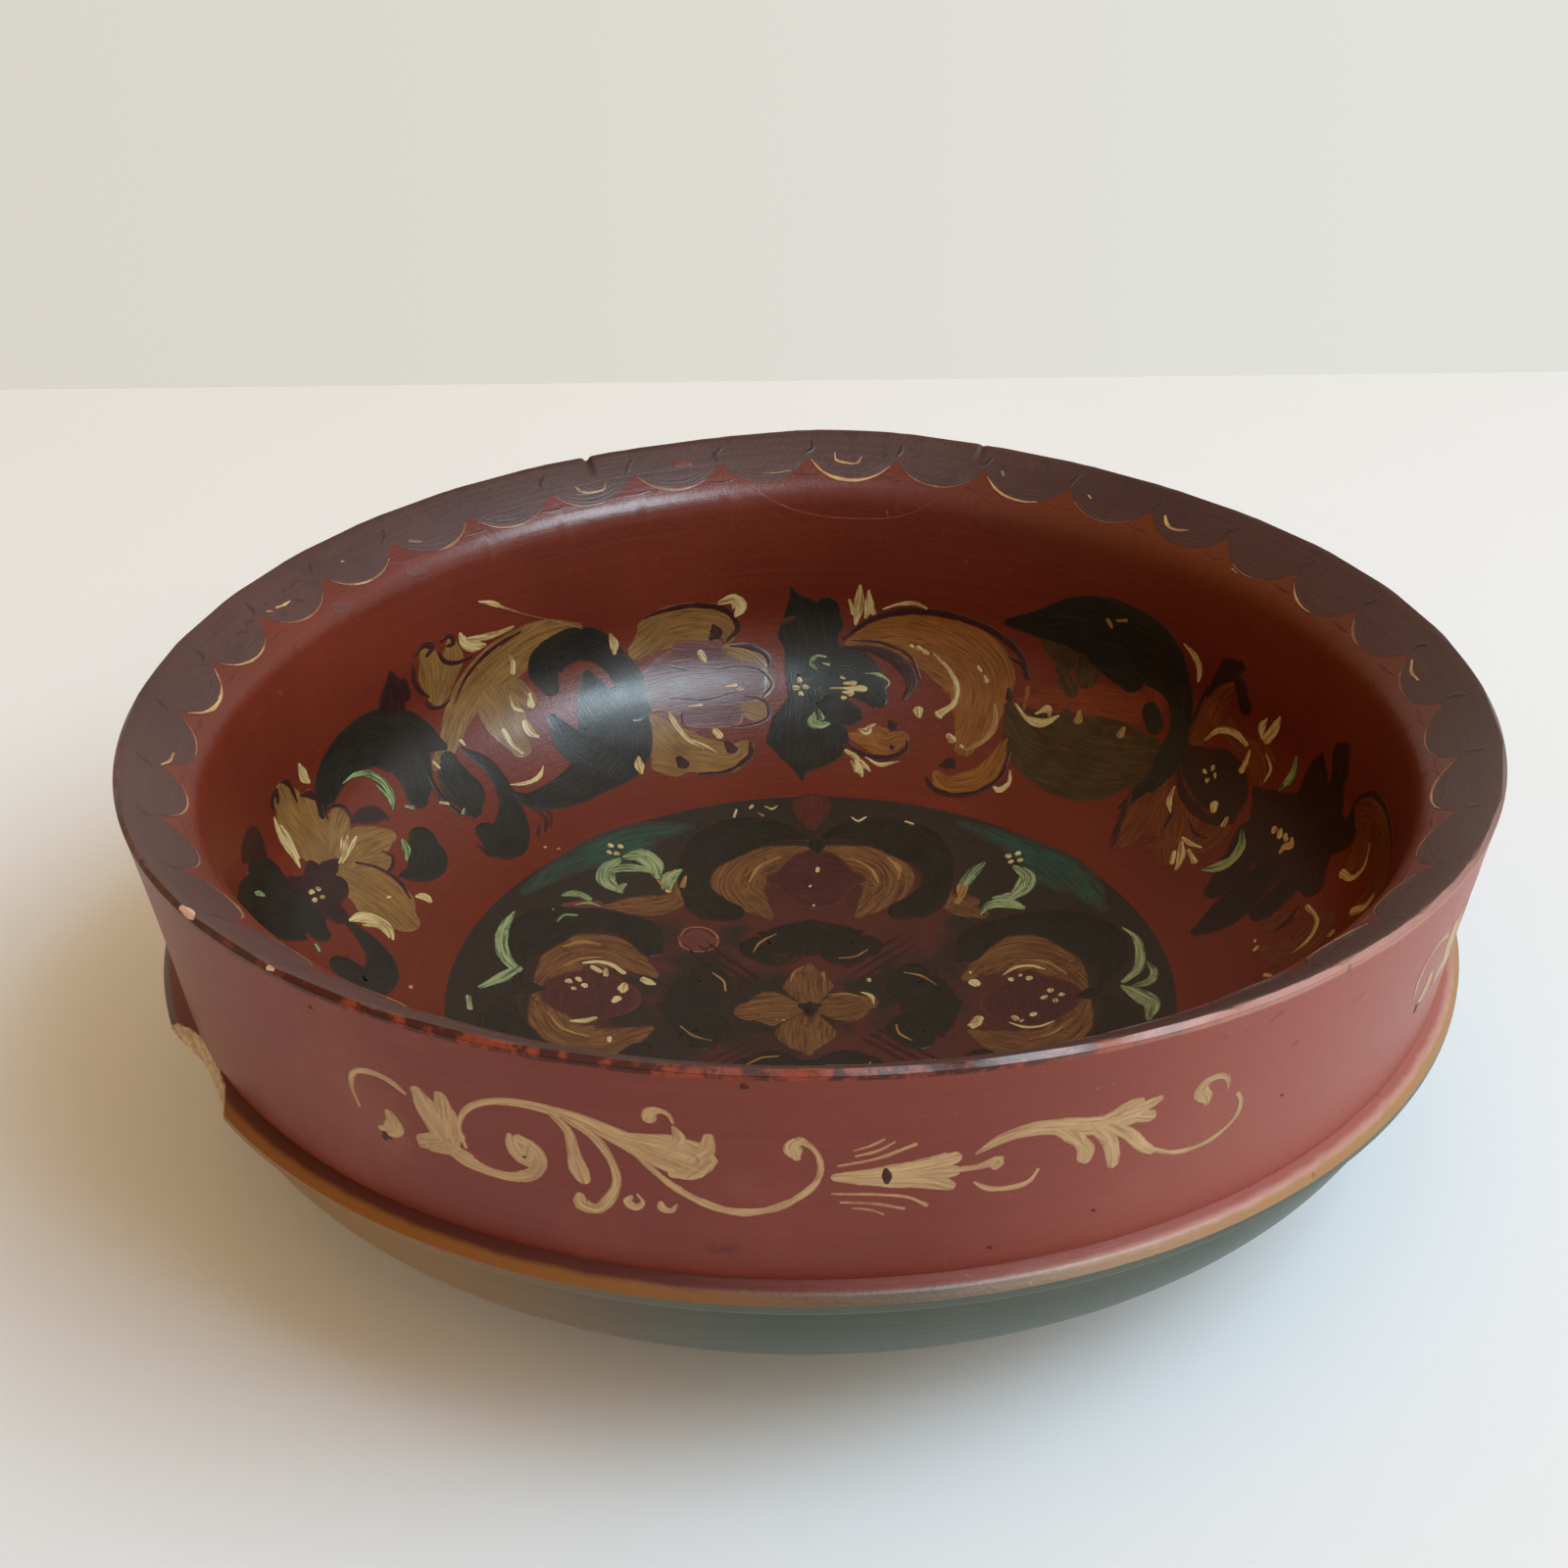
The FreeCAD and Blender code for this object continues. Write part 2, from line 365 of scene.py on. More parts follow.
def break_radius(angle, height):
    """Radius to which the ridge has split away, or a large one where it is whole.

    The bite is a round whose middle lies outside the ridge. Where a ray at this angle enters the round is the
    middle's distance times a cosine, less the root of the radius squared minus the sine part squared. The
    split leans in with height, and sines make it run unevenly along the grain.
    """
    middle = RIDGE_REACH + BREAK_ROUND - BREAK_BITE
    turn = angle - BREAK_PLACE
    inner = BREAK_ROUND**2 - (middle * np.sin(turn)) ** 2
    hit = middle * np.cos(turn) - np.sqrt(np.maximum(inner, 0.0))
    hit = hit + 0.2 * np.sin(45 * turn) + 0.1 * np.sin(150 * turn + height)
    hit = hit + 0.06 * np.sin(333 * turn + 2 * height) - (height - HEIGHT + RIDGE_DEPTH) * math.tan(BREAK_TILT)
    return np.where((inner > 0) & (np.cos(turn) > 0), hit, WHOLE)


def held_back(radius, angle, height, cover):
    """Radius held back to the split, less a cover that tucks a coat under the broken wood."""
    above = height - HEIGHT + RIDGE_DEPTH
    on_ridge = (above > -BREAK_BELOW) & (above < BREAK_ABOVE)
    return np.where(on_ridge, np.minimum(radius, break_radius(angle, height) - cover), radius)


# %% Turned wood
def turned_wood():
    """The wood as one closed skin: inside, outside and foot lines, one row for each point of the section."""
    line = np.concatenate([inside_line[1:], outside_line[1:], foot_line[1:-1]])
    radius, height = (np.broadcast_to(column[:, None], (len(line), len(ANGLES))) for column in line.T)
    outer = np.arange(len(line))[:, None] >= len(inside_line) - 1
    radius = np.where(outer, held_back(radius, ANGLES, height, 0.0), radius)
    poles = np.array([[0, 0, line_end[1] * MM] for line_end in (inside_line[0], foot_line[-1])])
    points = np.concatenate([settle(radius, ANGLES, height).reshape(-1, 3), poles])
    quads, fans = capped_faces(len(line), len(ANGLES), True)
    return new_object("turned_wood", points, quads.tolist() + fans.tolist())


wood = turned_wood()
print("wood:", len(wood.data.polygons), "faces")

# %% Coats of paint
RED_UNDER_BAND = 2.0
BAND_OVER_RED = 0.04
BREAK_COVER = 0.4


def along_outside(depth):
    """Distance along the outside at a depth below the rim."""
    return float(np.interp(depth, HEIGHT - outside_line[:, 1], outside.along))


RIDGE_FROM = along_outside(CREASE[1])
RIDGE_TO = along_outside(RIDGE_DEPTH)
BELLY_TO = outside.along[-1]
edge = scallop(ANGLES)
interior_red = coat("interior_red", inside, FLOOR_END, edge + RED_UNDER_BAND, 78)
rim_band = coat("rim_band", inside, edge, RIM_LENGTH, 16, thickness=COAT + BAND_OVER_RED)
collar_red = coat("collar_red", outside, 0.0, RIDGE_FROM, 46)
print("ridge from", round(RIDGE_FROM, 1), "to", round(RIDGE_TO, 1), "belly to", round(BELLY_TO, 1))


def outside_coat(name, first, last, rows):
    """Coat over part of the outside that tucks under the broken wood of the ridge."""
    along = np.linspace(first, last, rows)
    along = np.concatenate([along, along[::-1]])[:, None]
    lift = np.where(np.arange(2 * rows) < rows, COAT, TUCK)[:, None]
    shape = (2 * rows, len(ANGLES))
    radius, height = (np.broadcast_to(value, shape) for value in outside.lifted(along, lift))
    points = settle(held_back(radius, ANGLES, height, BREAK_COVER), ANGLES, height)
    values = {"along": np.broadcast_to(along, shape)}
    return new_object(name, points, grid_faces(*shape, True).tolist(), values)


ridge_ochre = outside_coat("ridge_ochre", RIDGE_FROM, RIDGE_TO, 14)
belly_green = outside_coat("belly_green", RIDGE_TO, BELLY_TO, 90)


def floor_round(rows=60):
    """Dark round on the floor: a closed disc that follows the dish, with a pole above and one below."""
    share = np.linspace(0, 1, rows)[1:, None]
    along = np.concatenate([share, share[::-1]]) * FLOOR_END
    lift = np.where(np.arange(len(along)) < len(share), COAT, TUCK)[:, None]
    along = np.broadcast_to(along, (len(along), len(ANGLES)))
    poles = inside.at(np.zeros(2), np.zeros(2), np.array([COAT, TUCK]))
    points = np.concatenate([inside.at(ANGLES, along, lift).reshape(-1, 3), poles])
    quads, fans = capped_faces(*along.shape, True)
    values = {"along": np.concatenate([along.ravel(), [0, 0]])}
    return new_object("floor_round", points, quads.tolist() + fans.tolist(), values)


floor_disc = floor_round()

# %% [markdown]
# ## Shader arithmetic
#
# A material is a graph of nodes, but its maths reads better as Python. `Value` wraps a socket so that
# `1 - mask * 0.5` adds its Math nodes, and `Finish` makes any other node in one call.

# %% A socket with arithmetic
class Value:
    """One output socket of a finish. Each operator adds a Math node to that finish."""

    def __init__(self, finish, socket):
        self.finish = finish
        self.socket = socket

    def math(self, operation, *others):
        """Result of a Math node that has this value as its first number."""
        return self.finish.math(operation, self, *others)

    def __add__(self, other):
        return self.math("ADD", other)

    def __sub__(self, other):
        return self.math("SUBTRACT", other)

    def __rsub__(self, other):
        return self.finish.math("SUBTRACT", other, self)

    def __mul__(self, other):
        return self.math("MULTIPLY", other)

    __radd__ = __add__
    __rmul__ = __mul__


SHEEN = 0.2


class Finish:
    """A material in the making, with one Principled shader. Given a tree, it adds its nodes there."""

    def __init__(self, name, tree=None):
        if tree is None:
            self.material = bpy.data.materials.new(name)
            self.material.use_nodes = True
            tree = self.material.node_tree
        self.tree = tree
        self.tree.nodes.clear()
        self.place = self.node("TexCoord", output="Object")

    def node(self, kind, settings=None, inputs=None, output=0):
        """One node of a kind, with its settings made first, then the values or links of its sockets."""
        node = self.tree.nodes.new("ShaderNode" + kind)
        for key, value in (settings or {}).items():
            setattr(node, key, value)
        for key, value in (inputs or {}).items():
            if isinstance(value, Value):
                self.tree.links.new(value.socket, node.inputs[key])
            else:
                node.inputs[key].default_value = value
        return Value(self, node.outputs[output]) if len(node.outputs) else None

    def math(self, operation, *numbers):
        """Result of a Math node."""
        return self.node("Math", {"operation": operation}, dict(enumerate(numbers)))

    def mix(self, share, first, second):
        """First colour where share is 0, second where it is 1."""
        settings = {"data_type": "RGBA", "clamp_factor": True}
        return self.node("Mix", settings, {0: share, 6: first, 7: second}, 2)

    def noise(self, scale, detail=3.0, roughness=0.55, place=None):
        """Noise about 0.5, with so many waves to the metre."""
        return self.node("TexNoise", None, {"Vector": place or self.place, "Scale": scale, "Detail": detail,
                                            "Roughness": roughness})

    def step(self, value, low, high):
        """0 below low, 1 above high, and a smooth change between."""
        return self.node("MapRange", {"interpolation_type": "SMOOTHSTEP"},
                         {"Value": value, "From Min": low, "From Max": high})

    def attribute(self, name):
        """A value that the mesh carries at its points."""
        return self.node("Attribute", {"attribute_name": name}, output="Fac")

    def flat(self):
        """Direction from the axis to the place, as seen from above."""
        level = self.node("VectorMath", {"operation": "MULTIPLY"}, {0: self.place, 1: (1.0, 1.0, 0.0)})
        return self.node("VectorMath", {"operation": "NORMALIZE"}, {0: level})

    def near(self, degrees, reach):
        """1 at an angle round the bowl, falling to 0 at so many degrees to either side."""
        turn = math.radians(degrees)
        agree = self.node("VectorMath", {"operation": "DOT_PRODUCT"},
                          {0: self.flat(), 1: (math.cos(turn), math.sin(turn), 0.0)}, "Value")
        return self.step(agree, math.cos(math.radians(reach)), math.cos(math.radians(reach * 0.3)))

    def between(self, value, low, high, soft):
        """1 between low and high, with soft ends."""
        return self.step(value, low - soft, low + soft) * self.step(value, high + soft, high - soft)

    def around(self, fine, high):
        """Place that changes slowly round the bowl and fast along the section, for marks left by turning."""
        round_place = self.node("VectorMath", {"operation": "SCALE"}, {0: self.flat(), "Scale": fine})
        rise = self.node("CombineXYZ", None, {"Z": self.attribute("along") * high})
        return self.node("VectorMath", {"operation": "ADD"}, {0: round_place, 1: rise})

    def finish(self, tint, roughness, bump, bump_mm):
        """Joins colour, roughness and bump to the shader, and gives the material."""
        normal = self.node("Bump", None, {"Height": bump, "Distance": bump_mm * MM, "Strength": 1.0})
        sockets = {"Base Color": tint, "Roughness": roughness, "Normal": normal, "Specular IOR Level": SHEEN}
        shader = self.node("BsdfPrincipled", None, sockets)
        self.node("OutputMaterial", None, {"Surface": shader})
        return self.material


def colour(*screen):
    """Colour given as it looks on a screen, from 0 to 255, in the linear values that shaders use."""
    share = np.array(screen) / 255.0
    linear = np.where(share < 0.04045, share / 12.92, ((share + 0.055) / 1.055) ** 2.4)
    return (*linear.tolist(), 1.0)


# %% [markdown]
# ## Old paint
#
# All the grounds are the same kind of finish: matt oil paint with a satin varnish, brushed on as the bowl
# turned. So the streaks run round it, broad and fine, and age has spotted it and rubbed it.

# %% Ground paint
def old_paint(name, base, deep, worn, patches, gloss=0.36, spots=0.6):
    """Ground paint: base colour drifting to the deep one, with turned streaks, dark spots and worn specks.

    Each patch is a function of the finish that gives a share and the colour that covers the ground there.
    """
    f = Finish(name)
    base, deep, worn = colour(*base), colour(*deep), colour(*worn)
    cloud = f.noise(14.0, 4.0)
    streaks = f.noise(1.0, 5.0, 0.65, f.around(2.5, 0.9))
    grain = f.noise(900.0, 3.0, 0.6)
    shade = f.step(cloud * 0.6 + streaks * 0.35 + grain * 0.12, 0.35, 0.85)
    tint = f.mix(shade, deep, base)
    for patch in patches:
        share, cover = patch(f)
        tint = f.mix(share, tint, cover)
    speck = f.step(f.noise(210.0, 2.0, 0.5), 0.68, 0.74) * f.step(f.noise(23.0), 0.42, 0.6)
    tint = f.mix(speck * spots, tint, deep)
    rub = f.step(f.noise(330.0, 4.0, 0.7), 0.66, 0.73) * f.step(f.noise(9.0, 3.0), 0.48, 0.65)
    tint = f.mix(rub * 0.6, tint, worn)
    rough = gloss + (cloud - 0.5) * 0.12 + (grain - 0.5) * 0.14
    relief = streaks * 0.6 + grain * 0.4 + cloud * 0.4 + f.noise(260.0, 3.0) * 0.4
    return f.finish(tint, rough, relief, 0.14)


# %% Wear, stains, painted light and painted shade on the grounds
def ragged(f, scale=160.0, amount=3.0):
    """Noise in millimetres round 0, to make the limit of a patch ragged."""
    return (f.noise(scale, 4.0, 0.65) - 0.5) * amount


def faded(degrees, reach, share, cover):
    """Patch of another colour that is strongest at an angle round the bowl, and fades to both sides."""
    return lambda f: (f.near(degrees, reach) * share, cover)


# Painted shade: the near side of the rim band, seen at a grazing angle, is darkened in its colour.
near_rim_painted_shade = faded(296.0, 50.0, 0.8, colour(64, 28, 19))
# Painted sheen: the right of the collar, where the window light falls and shines, is lightened in its colour.
collar_painted_sheen = faded(338.0, 62.0, 0.8, colour(152, 82, 70))
# Painted warm light: the left of the ridge, where warm light from the room falls, is turned orange gold.
ridge_painted_warm_light = faded(238.0, 38.0, 0.9, colour(130, 78, 30))
# Painted light: the right of the ridge, which faces the window, is made paler.
ridge_painted_light = faded(322.0, 46.0, 0.9, colour(152, 108, 62))
# Painted warm light: the left front of the blue-green belly, where warm light from the room falls, is tinted
# brown.
belly_painted_warm_light = faded(208.0, 58.0, 0.85, colour(136, 98, 56))


def wall_patina(f):
    """Old varnish, orange brown, gathered under the rim on the shaded side."""
    gathered = f.step(f.attribute("along") + ragged(f, 60.0, 24.0), 172.0, 200.0)
    return gathered * f.near(25.0, 62.0) * 0.6, colour(98, 50, 22)


def rim_pits(f):
    """Small dark pits that have broken out in the scallops on the left."""
    pits = f.step(f.noise(420.0, 1.0, 0.4), 0.60, 0.68) * f.between(f.attribute("along"), 198.5, 207.0, 1.2)
    return pits * f.near(160.0, 18.0) * 0.75, colour(58, 34, 30)


def rim_streaks(f):
    """Black brush streaks across the band, strongest at the far side."""
    streaks = f.step(f.noise(1.0, 4.0, 0.6, f.around(34.0, 0.12)), 0.52, 0.68)
    return streaks * f.near(90.0, 95.0) * 0.5, colour(50, 36, 36)


def worn_red_and_nose_highlight(f):
    """Red undercoat of the worn nose, blackened in places, with a painted pink highlight along the nose on the
    right.
    """
    tint = f.mix(f.step(f.noise(150.0, 4.0, 0.7), 0.45, 0.6), colour(66, 26, 16), colour(134, 56, 32))
    tint = f.mix(f.near(218.0, 16.0) * 0.7, tint, colour(70, 44, 36))
    # Painted highlight: pink along the nose on the right, where the light catches its edge.
    return f.mix(f.near(325.0, 45.0) * 0.8, tint, colour(184, 134, 120))


def nose_wear_and_highlight(f):
    """The lip side of the worn nose, with the painted highlight on its right."""
    worn = f.step(f.attribute("along") + ragged(f, 90.0, 1.6), RIM_LENGTH - 1.5, RIM_LENGTH - 0.9)
    return worn * f.near(262.0, 92.0), worn_red_and_nose_highlight(f)


def collar_edge_wear_and_highlight(f):
    """The collar side of the worn nose, with the painted highlight on its right."""
    worn = f.step(f.attribute("along") + ragged(f, 90.0, 1.4), 1.4, 0.8)
    return worn * f.near(262.0, 92.0), worn_red_and_nose_highlight(f)


def collar_blot(f):
    """A dark blot low on the front of the collar."""
    blot = f.between(f.attribute("along") + ragged(f, 260.0, 7.0), 43.5, 46.0, 1.2) * f.near(263.5, 1.5)
    return blot * 0.5, colour(66, 26, 20)


def collar_rub(f):
    """Dull rubbed patches in the collar's paint."""
    return f.step(f.noise(26.0, 5.0, 0.6), 0.52, 0.7) * 0.35, colour(142, 84, 70)


def ridge_red_shade_and_highlight(f):
    """The collar's red, which runs softly over the top of the ridge, with painted shade darkening it on the
    left and a painted highlight lightening it on the right.
    """
    # Painted highlight on the right and painted shade on the left, in the red's own colour.
    red = f.mix(f.near(338.0, 62.0), colour(122, 58, 46), colour(152, 84, 72))
    red = f.mix(f.near(236.0, 44.0), red, colour(84, 38, 26))
    return f.step(f.attribute("along") + ragged(f, 110.0, 1.6), RIDGE_FROM + 3.9, RIDGE_FROM + 2.3), red


def ridge_top_painted_highlight(f):
    """Painted pink highlight along the upper edge of the ridge on the right, made ragged."""
    rub = f.between(f.attribute("along") + ragged(f, 160.0, 1.8), RIDGE_FROM + 2.2, RIDGE_FROM + 3.6, 0.7)
    return rub * f.near(320.0, 42.0) * 0.6, colour(184, 138, 124)


def ridge_rub(f):
    """Pale places where the ridge has been knocked."""
    rub = f.step(f.noise(130.0, 4.0, 0.7), 0.62, 0.68) * f.step(f.noise(17.0), 0.48, 0.6)
    return rub * 0.6, colour(176, 132, 98)


def floor_redness(f):
    """Red ground glowing through the worn dark paint in the middle of the floor."""
    glow = f.step(f.noise(34.0, 4.0, 0.6), 0.42, 0.58) * f.step(f.attribute("along"), 74.0, 58.0)
    return glow * 0.8, colour(84, 38, 28)


# %% The grounds on their pieces
def paint(piece, material, node=None):
    """Finishes a piece, hangs it on the root body, and hides the imported part that it replaces."""
    piece.data.materials.append(material)
    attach(piece, "root")
    if node:
        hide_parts(node)


red_inside = old_paint("brick_red", (112, 41, 18), (91, 29, 12), (132, 69, 38), patches=(wall_patina,))
red_collar = old_paint("collar_red", (122, 58, 46), (106, 47, 38), (149, 99, 77),
                       patches=(collar_painted_sheen, collar_rub, collar_blot, collar_edge_wear_and_highlight))
brown_rim = old_paint("purple_brown", (89, 54, 45), (64, 38, 33), (131, 69, 50), gloss=0.42,
                      patches=(rim_streaks, rim_pits, near_rim_painted_shade, nose_wear_and_highlight))
ochre_ridge = old_paint("ridge_ochre", (102, 76, 38), (72, 50, 26), (168, 124, 86), gloss=0.44,
                        patches=(ridge_painted_warm_light, ridge_painted_light, ridge_rub, ridge_red_shade_and_highlight, ridge_top_painted_highlight))
green_belly = old_paint("belly_green", (89, 96, 85), (70, 76, 69), (133, 124, 92), patches=(belly_painted_warm_light,))
floor_ground = old_paint("floor_ground", (54, 42, 30), (38, 30, 22), (112, 60, 42), spots=0.8,
                         patches=(floor_redness,))
paint(interior_red, red_inside, "interior_red_coat")
paint(rim_band, brown_rim, "rim_band_coat")
paint(collar_red, red_collar, "collar_red_coat")
paint(ridge_ochre, ochre_ridge, "ridge_ochre_coat")
paint(belly_green, green_belly, "belly_green_coat")
paint(floor_disc, floor_ground, "floor_medallion_coat")


# %% Bare birch
def bare_birch():
    """Pale birch: long rings of darker grain across the block, and a fibrous surface where it has split."""
    f = Finish("bare_birch")
    fibre = f.node("Mapping", None, {"Vector": f.place, "Scale": (60.0, 700.0, 700.0)})
    grain = f.noise(1.0, 4.0, 0.6, fibre)
    tint = f.mix(f.step(grain, 0.35, 0.7), colour(158, 130, 98), colour(196, 172, 138))
    return f.finish(tint, 0.75 + (grain - 0.5) * 0.2, grain, 0.25)


paint(wood, bare_birch(), "turned_bowl_body")

# %% [markdown]
# ## Brush strokes
#
# The ornament is painted with loaded brushes, so each mark is a stroke: it follows a path, swells and thins,
# and its ends are round or run out to a point. A stroke is made as a thin closed slab that lies on the bowl,
# a little domed as thick paint is. It is enough to say where the brush goes and how wide it presses.

# %% Smooth path through a few places
def smooth_path(knots, chart, steps):
    """Rows of (u, v, half width) on a smooth curve through the knots, and their distance in mm.

    Between two knots it is the cubic with the knots' own slopes, and a knot's slope is that of the line
    from its neighbour before to its neighbour after, over their distance.
    """
    size = np.array([chart.scale(knots[:, 1].mean()), 1.0])
    gap = np.hypot(*(np.diff(knots[:, :2], axis=0) * size).T)
    place = np.concatenate([[0.0], np.cumsum(np.maximum(gap, 0.05))])
    slope = np.gradient(knots, place, axis=0)
    t = np.linspace(0, place[-1], steps)
    i = np.clip(np.searchsorted(place, t, side="right") - 1, 0, len(place) - 2)
    width = (place[i + 1] - place[i])[:, None]
    s = (t[:, None] - place[i, None]) / width
    rows = ((1 + 2 * s) * (1 - s) ** 2 * knots[i] + s * (1 - s) ** 2 * width * slope[i]
            + s**2 * (3 - 2 * s) * knots[i + 1] + s**2 * (s - 1) * width * slope[i + 1])
    return rows, t


# %% Charts: where a stroke's numbers lie on the bowl
class WallChart:
    """Chart with u in degrees round the bowl and v in millimetres along one side of the section."""

    turned_over = False

    def __init__(self, side, turn=0.0):
        self.side = side
        self.turn = turn

    def scale(self, v):
        """Millimetres in one degree: the radius times a degree's angle."""
        return np.radians(np.interp(v, self.side.along, self.side.line[:, 0]))

    def at(self, u, v, lift):
        """Point on the side, with the whole chart turned round the bowl."""
        return self.side.at(np.radians(u + self.turn), v, lift)


class FloorChart:
    """Chart with u and v in millimetres to the right and away, as the floor is seen from above."""

    turned_over = True

    def __init__(self, turn):
        self.turn = math.radians(turn)

    def scale(self, v):
        """On the floor both numbers are already millimetres, so the scale is one everywhere."""
        return np.ones_like(v)

    def at(self, u, v, lift):
        """Angle and radius are those of (u, v), and the dish has that radius at a distance along it."""
        radius = np.hypot(u, v)
        along = np.interp(radius, inside.line[:, 0], inside.along)
        return inside.at(np.arctan2(v, u) + self.turn, along, lift)


# %% One stroke
ROW_STEP = 1.1
MOST_ROWS = 64
CAP_ROWS = 5
LEAST_REACH = 0.15
LEAST_HALF = 0.12
DOME = 0.06
UNDERSIDE = 0.15


def stroke(knots, chart, lift, seed):
    """Points, quads, triangles and attributes of one stroke.

    Each end is a half ellipse: past the last knot the half width falls as the root of one less the distance
    squared. Across, a column stands at minus the cosine of an even angle, and the dome is the root of one
    less that place squared.
    """
    knots = np.asarray(knots, float)
    size = np.array([chart.scale(knots[:, 1].mean()), 1.0])
    length = np.hypot(*(np.diff(knots[:, :2], axis=0) * size).T).sum()
    steps = int(np.clip(length / ROW_STEP, 4 * (len(knots) - 1), MOST_ROWS)) + 1
    rows, t = smooth_path(knots, chart, steps)
    unit = np.stack([chart.scale(rows[:, 1]), np.ones(steps)], 1)
    heading = np.gradient(rows[:, :2], t, axis=0) * unit
    heading /= np.maximum(np.hypot(*heading.T), 1e-9)[:, None]
    cap = np.sin(np.linspace(0, np.pi / 2, CAP_ROWS + 1))[1:]
    reach = np.maximum(rows[[0, -1], 2], LEAST_REACH)
    before, past = cap[::-1] * reach[0], cap * reach[1]
    centre = np.concatenate([rows[0, :2] - before[:, None] * heading[0] / unit[0], rows[:, :2],
                             rows[-1, :2] + past[:, None] * heading[-1] / unit[-1]])
    run = np.concatenate([-before, t, t[-1] + past])
    fall = np.sqrt(np.maximum(1 - cap**2, 0))
    half = np.maximum(rows[:, 2], LEAST_HALF)
    uneven = 0.1 * np.sin(run * 0.9 + seed * 7) + 0.05 * np.sin(run * 2.3 + seed)
    uneven = 1 + uneven / np.maximum(half.max(), 0.9)
    half = np.concatenate([half[0] * fall[::-1], half, half[-1] * fall]) * uneven
    heading = np.pad(heading, ((CAP_ROWS, CAP_ROWS), (0, 0)), "edge")
    columns = int(np.clip(half.max(), 5, 15))
    across = -np.cos(np.linspace(0, np.pi, columns))
    across = np.concatenate([across, across[::-1]])[None]
    dome = min(DOME, 0.08 * half.max())
    top = np.arange(2 * columns) < columns
    height = np.where(top, lift + dome * np.sqrt(np.maximum(1 - across**2, 0)), UNDERSIDE)
    body = slice(1, -1)
    aside = across * half[body, None]
    u = centre[body, :1] - heading[body, 1:] * aside / chart.scale(centre[body, 1:])
    v = centre[body, 1:] + heading[body, :1] * aside
    rings = chart.at(u, v, height)
    ends = chart.at(*centre[[0, -1]].T, lift * 0.6)
    points = np.concatenate([rings.reshape(-1, 3), ends])
    values = {"run": run[body, None], "side": aside, "edge": (1 - np.abs(across)) * half[body, None]}
    values = {key: np.append(np.broadcast_to(value, u.shape), [0.0, 0.0]) for key, value in values.items()}
    values["seed"] = np.full(len(points), seed % 17.0)
    return points, *capped_faces(*u.shape, chart.turned_over), values


# %% Many strokes
LAYER = 0.00005
SEED_STEP = 1.618


def strokes(name, marks, lift):
    """One mesh of many strokes. Marks are (chart, knots) pairs, and each lies a hair above the one before."""
    points, faces, values, start = [], [], {}, 0
    for number, (chart, knots) in enumerate(marks):
        shape, quads, fans, value = stroke(knots, chart, lift + LAYER * number, number * SEED_STEP)
        points.append(shape)
        faces += (quads + start).tolist() + (fans + start).tolist()
        for key in value:
            values.setdefault(key, []).append(value[key])
        start += len(shape)
    values = {key: np.concatenate(value) for key, value in values.items()}
    return new_object(name, np.concatenate(points), faces, values)


# %% [markdown]
# ## The garland on the wall
#
# A garland of scrolls, flowers and leaves runs round the wall. Each motif lists its strokes by colour, in
# degrees round the bowl, millimetres up the section from the middle of the floor, and half the brush width.
# Angles fall from left to right as the camera sees the far wall.

